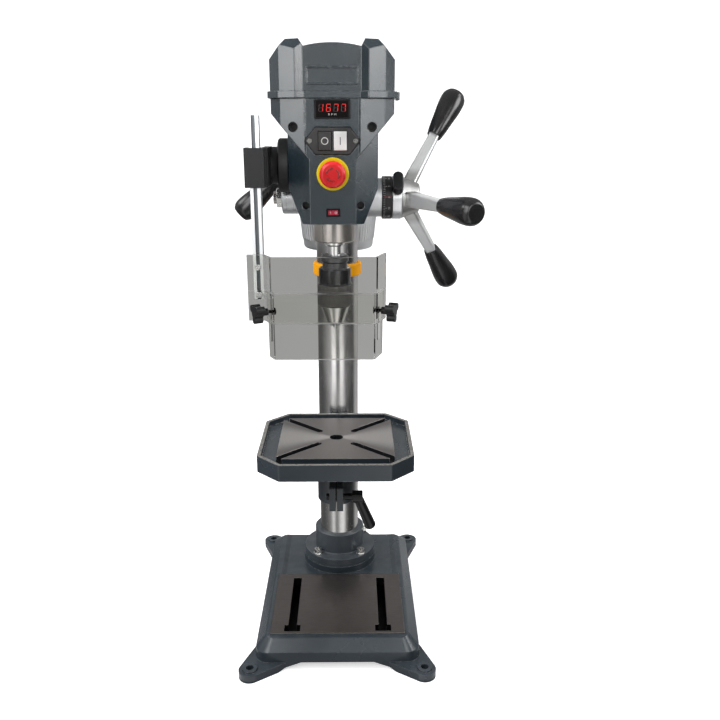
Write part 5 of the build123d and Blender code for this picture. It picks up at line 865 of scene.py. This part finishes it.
def makeDisplay(look):
    middle, low, _ = middleOf("display_window")
    count = len(look["digits"])
    origins = (np.arange(count) - (count - 1) / 2) * look["pitch"] - look["digitW"] / 2
    ends = np.tile(segmentEnds, (count, 1, 1)) * (look["digitW"], look["digitH"])
    span = ends[:, 1] - ends[:, 0]
    gap = span / np.linalg.norm(span, axis=1)[:, None] * look["bar"] * look["barGap"]
    ends = ends + np.stack([gap, -gap], axis=1) - (0, look["digitH"] / 2)
    ends[:, :, 0] += np.repeat(origins, len(segmentEnds))[:, None] + look["slant"] * ends[:, :, 1]
    ends += (middle.x, middle.z + look["rise"])
    lit = np.array([flag == "1" for digit in look["digits"] for flag in litSegments[digit]])
    for name, chosen, finish in (("displayDigits", lit, "digitRed"), ("displayUnlit", ~lit, "digitDark")):
        flat, lift = stripGrid(ends[chosen, 0], ends[chosen, 1], look["bar"], look["height"])
        addDetail(surfaceObject(name, onFront(flat, lift, low.y)), finish, "frame")
    mesh, points = textMesh("displayUnit", look["unit"], look["unitSize"])
    across = points[:, 0] * look["unitSpread"] + middle.x
    depth = np.full(len(points), low.y - look["unitLift"])
    placed = np.stack([across, depth, points[:, 1] + middle.z - look["unitDrop"]], axis=-1)
    addDetail(meshPiece("displayUnit", mesh, placed), "printWhite", "frame")


makeDisplay(displayLook)


# Marks on the buttons and the lamp rocker: a ring for off and a bar for on
markLook = {"ring": 0.0042, "bar": 0.0052, "width": 0.0006, "height": 0.00014, "point": 0.15,
            "rockerRing": 0.0013, "rockerBar": 0.0015, "rockerWidth": 0.0003, "rockerAside": 0.55,
            "rockerCrown": 0.0005}


def makeMarks(look):
    height, point = look["height"], look["point"]
    middle, low, _ = middleOf("stop_button")
    flat, lift = ringGrid((middle.x, middle.z), look["ring"], look["width"], height)
    addDetail(surfaceObject("stopMark", onFront(flat, lift, low.y), ring=True), "printWhite", "stop_key")
    middle, low, _ = middleOf("start_button")
    foot, top = (middle.x, middle.z - look["bar"]), (middle.x, middle.z + look["bar"])
    flat, lift = stripGrid([foot], [top], look["width"], height, point)
    addDetail(surfaceObject("startMark", onFront(flat, lift, low.y)), "printDark", "start_key")
    middle, low, high = middleOf("rocker")
    half = (high.x - low.x) / 2
    aside = half * look["rockerAside"]

    def rockerFace(flat):
        return low.y + look["rockerCrown"] * (1 - ((flat[..., 0] - middle.x) / half) ** 2)

    flat, lift = ringGrid((middle.x + aside, middle.z), look["rockerRing"], look["rockerWidth"], height)
    piece = surfaceObject("rockerOff", onFront(flat, lift, rockerFace(flat)), ring=True)
    addDetail(piece, "printWhite", "light_rocker")
    foot, top = (middle.x - aside, middle.z - look["rockerBar"]), (middle.x - aside, middle.z + look["rockerBar"])
    flat, lift = stripGrid([foot], [top], look["rockerWidth"], height, point)
    addDetail(surfaceObject("rockerOn", onFront(flat, lift, rockerFace(flat))), "printWhite", "light_rocker")


makeMarks(markLook)


# Twist-release arrows on the stop mushroom: an arc whose width swells into a head at its end, raised like a cushion
arrowLook = {"count": 3, "radius": 0.0083, "start": 50.0, "sweep": 88.0, "headAt": 0.66, "headGap": 0.004,
             "shaft": 0.0011, "head": 0.0026, "tip": 0.02, "height": 0.0005,
             "shaftSteps": 14, "headSteps": 12, "sideSteps": 9}


def makeArrows(look):
    middle, low, _ = middleOf("estop_mushroom")
    headAt = look["headAt"]
    along = np.concatenate([np.linspace(0, headAt, look["shaftSteps"]),
                            np.linspace(headAt + look["headGap"], 1, look["headSteps"])])
    head = look["head"] * np.clip((1 - along) / (1 - headAt), look["tip"], 1)
    width = np.where(along <= headAt, look["shaft"], head)
    side = np.linspace(-1, 1, look["sideSteps"])
    starts = np.arange(look["count"]) * 360.0 / look["count"] + look["start"]
    turn = np.radians(starts[:, None, None] - look["sweep"] * along[None, :, None])
    reach = look["radius"] + width[None, :, None] * side[None, None, :]
    flat = np.stack([middle.x + reach * np.cos(turn), middle.z + reach * np.sin(turn)], axis=-1)
    lift = np.broadcast_to(cushion(side, look["height"]), flat.shape[:3])
    addDetail(surfaceObject("stopArrows", onFront(flat, lift, low.y)), "stopDark", "estop_head")


makeArrows(arrowLook)


# Depth scale: ticks and figures on the black ring, and a red line at its zero. They are laid out flat and wrapped: the
# angle is the flat height divided by the ring's radius, and the mark's own height adds to that radius
scaleLook = {"ticks": 72, "every": 6, "short": 0.0032, "long": 0.0056, "width": 0.00022, "height": 0.00008,
             "point": 0.1, "edge": 0.0011, "figures": 0.0042, "figureStep": 5, "figureGap": 0.0028,
             "figureLift": 0.0001, "index": 6.0, "zeroTimes": 2}


def makeScale(look):
    middle, low, high = middleOf("depth_scale")
    radius = (high.z - low.z) / 2
    order = np.arange(look["ticks"])
    turn = 2 * math.pi * order / look["ticks"] + math.radians(look["index"])
    length = np.where(order % look["every"] == 0, look["long"], look["short"])
    edge = low.x + look["edge"]

    def wrap(across, arc, lift):
        reach = radius + lift
        return np.stack([across, middle.y - reach * np.cos(arc), middle.z + reach * np.sin(arc)], axis=-1)

    def wrapStrips(name, starts, ends, times, finish):
        flat, lift = stripGrid(starts, ends, look["width"] * times, look["height"] * times, look["point"])
        grid = wrap(flat[..., 0], flat[..., 1] / radius, lift)
        addDetail(surfaceObject(name, grid), finish, "depth_stop_unit")

    starts = np.stack([np.full(len(order), edge), turn * radius], axis=1)
    runs = np.stack([length, np.zeros(len(order))], axis=1)
    wrapStrips("scaleTicks", starts, starts + runs, 1, "printWhite")
    for number in range(look["ticks"] // look["every"]):
        name = "scaleFigure%d" % number
        mesh, points = textMesh(name, str(number * look["figureStep"]), look["figures"])
        arc = turn[number * look["every"]] - points[:, 0] / radius
        across = edge + look["long"] + look["figureGap"] + points[:, 1]
        addDetail(meshPiece(name, mesh, wrap(across, arc, look["figureLift"])), "printWhite", "depth_stop_unit")
    zero = turn[0] * radius
    wrapStrips("scaleZero", [(edge, zero)], [(high.x - look["edge"], zero)], look["zeroTimes"], "printRed")


makeScale(scaleLook)


# Motor vents: a sleeve round the tapered cowl, its radius a rounded square wave by angle that dies out at both ends.
# The cowl's taper is its radius at a foot, and how much it grows over a height
ventLook = {"ribs": 64, "low": 0.632, "high": 0.694, "out": 0.0012, "sink": 0.0006, "square": 3, "fade": 0.06,
            "ribSteps": 12, "rows": 25, "cowlRadius": 0.063, "cowlGrowth": 0.009, "cowlFoot": 0.618,
            "cowlHeight": 0.087}


def makeVents(look):
    low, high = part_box("motor_housing")
    middleX, middleY = (low.x + high.x) / 2, (low.y + high.y) / 2
    turns = np.linspace(0, 2 * math.pi, look["ribs"] * look["ribSteps"], endpoint=False)
    turn, rise = np.meshgrid(turns, np.linspace(0, 1, look["rows"]))
    height = look["low"] + (look["high"] - look["low"]) * rise
    cowl = look["cowlRadius"] + look["cowlGrowth"] * (height - look["cowlFoot"]) / look["cowlHeight"]
    wave = np.tanh(look["square"] * np.cos(look["ribs"] * turn)) / math.tanh(look["square"])
    fade = np.clip(np.minimum(rise, 1 - rise) / look["fade"], 0, 1)
    radius = cowl + (look["out"] + look["sink"]) * (0.5 + 0.5 * wave) * fade - look["sink"]
    grid = np.stack([middleX + radius * np.cos(turn), middleY + radius * np.sin(turn), height], axis=-1)
    addDetail(surfaceObject("motorVents", grid, ring=True), "castAluminium", "frame")


makeVents(ventLook)
print("marks made")
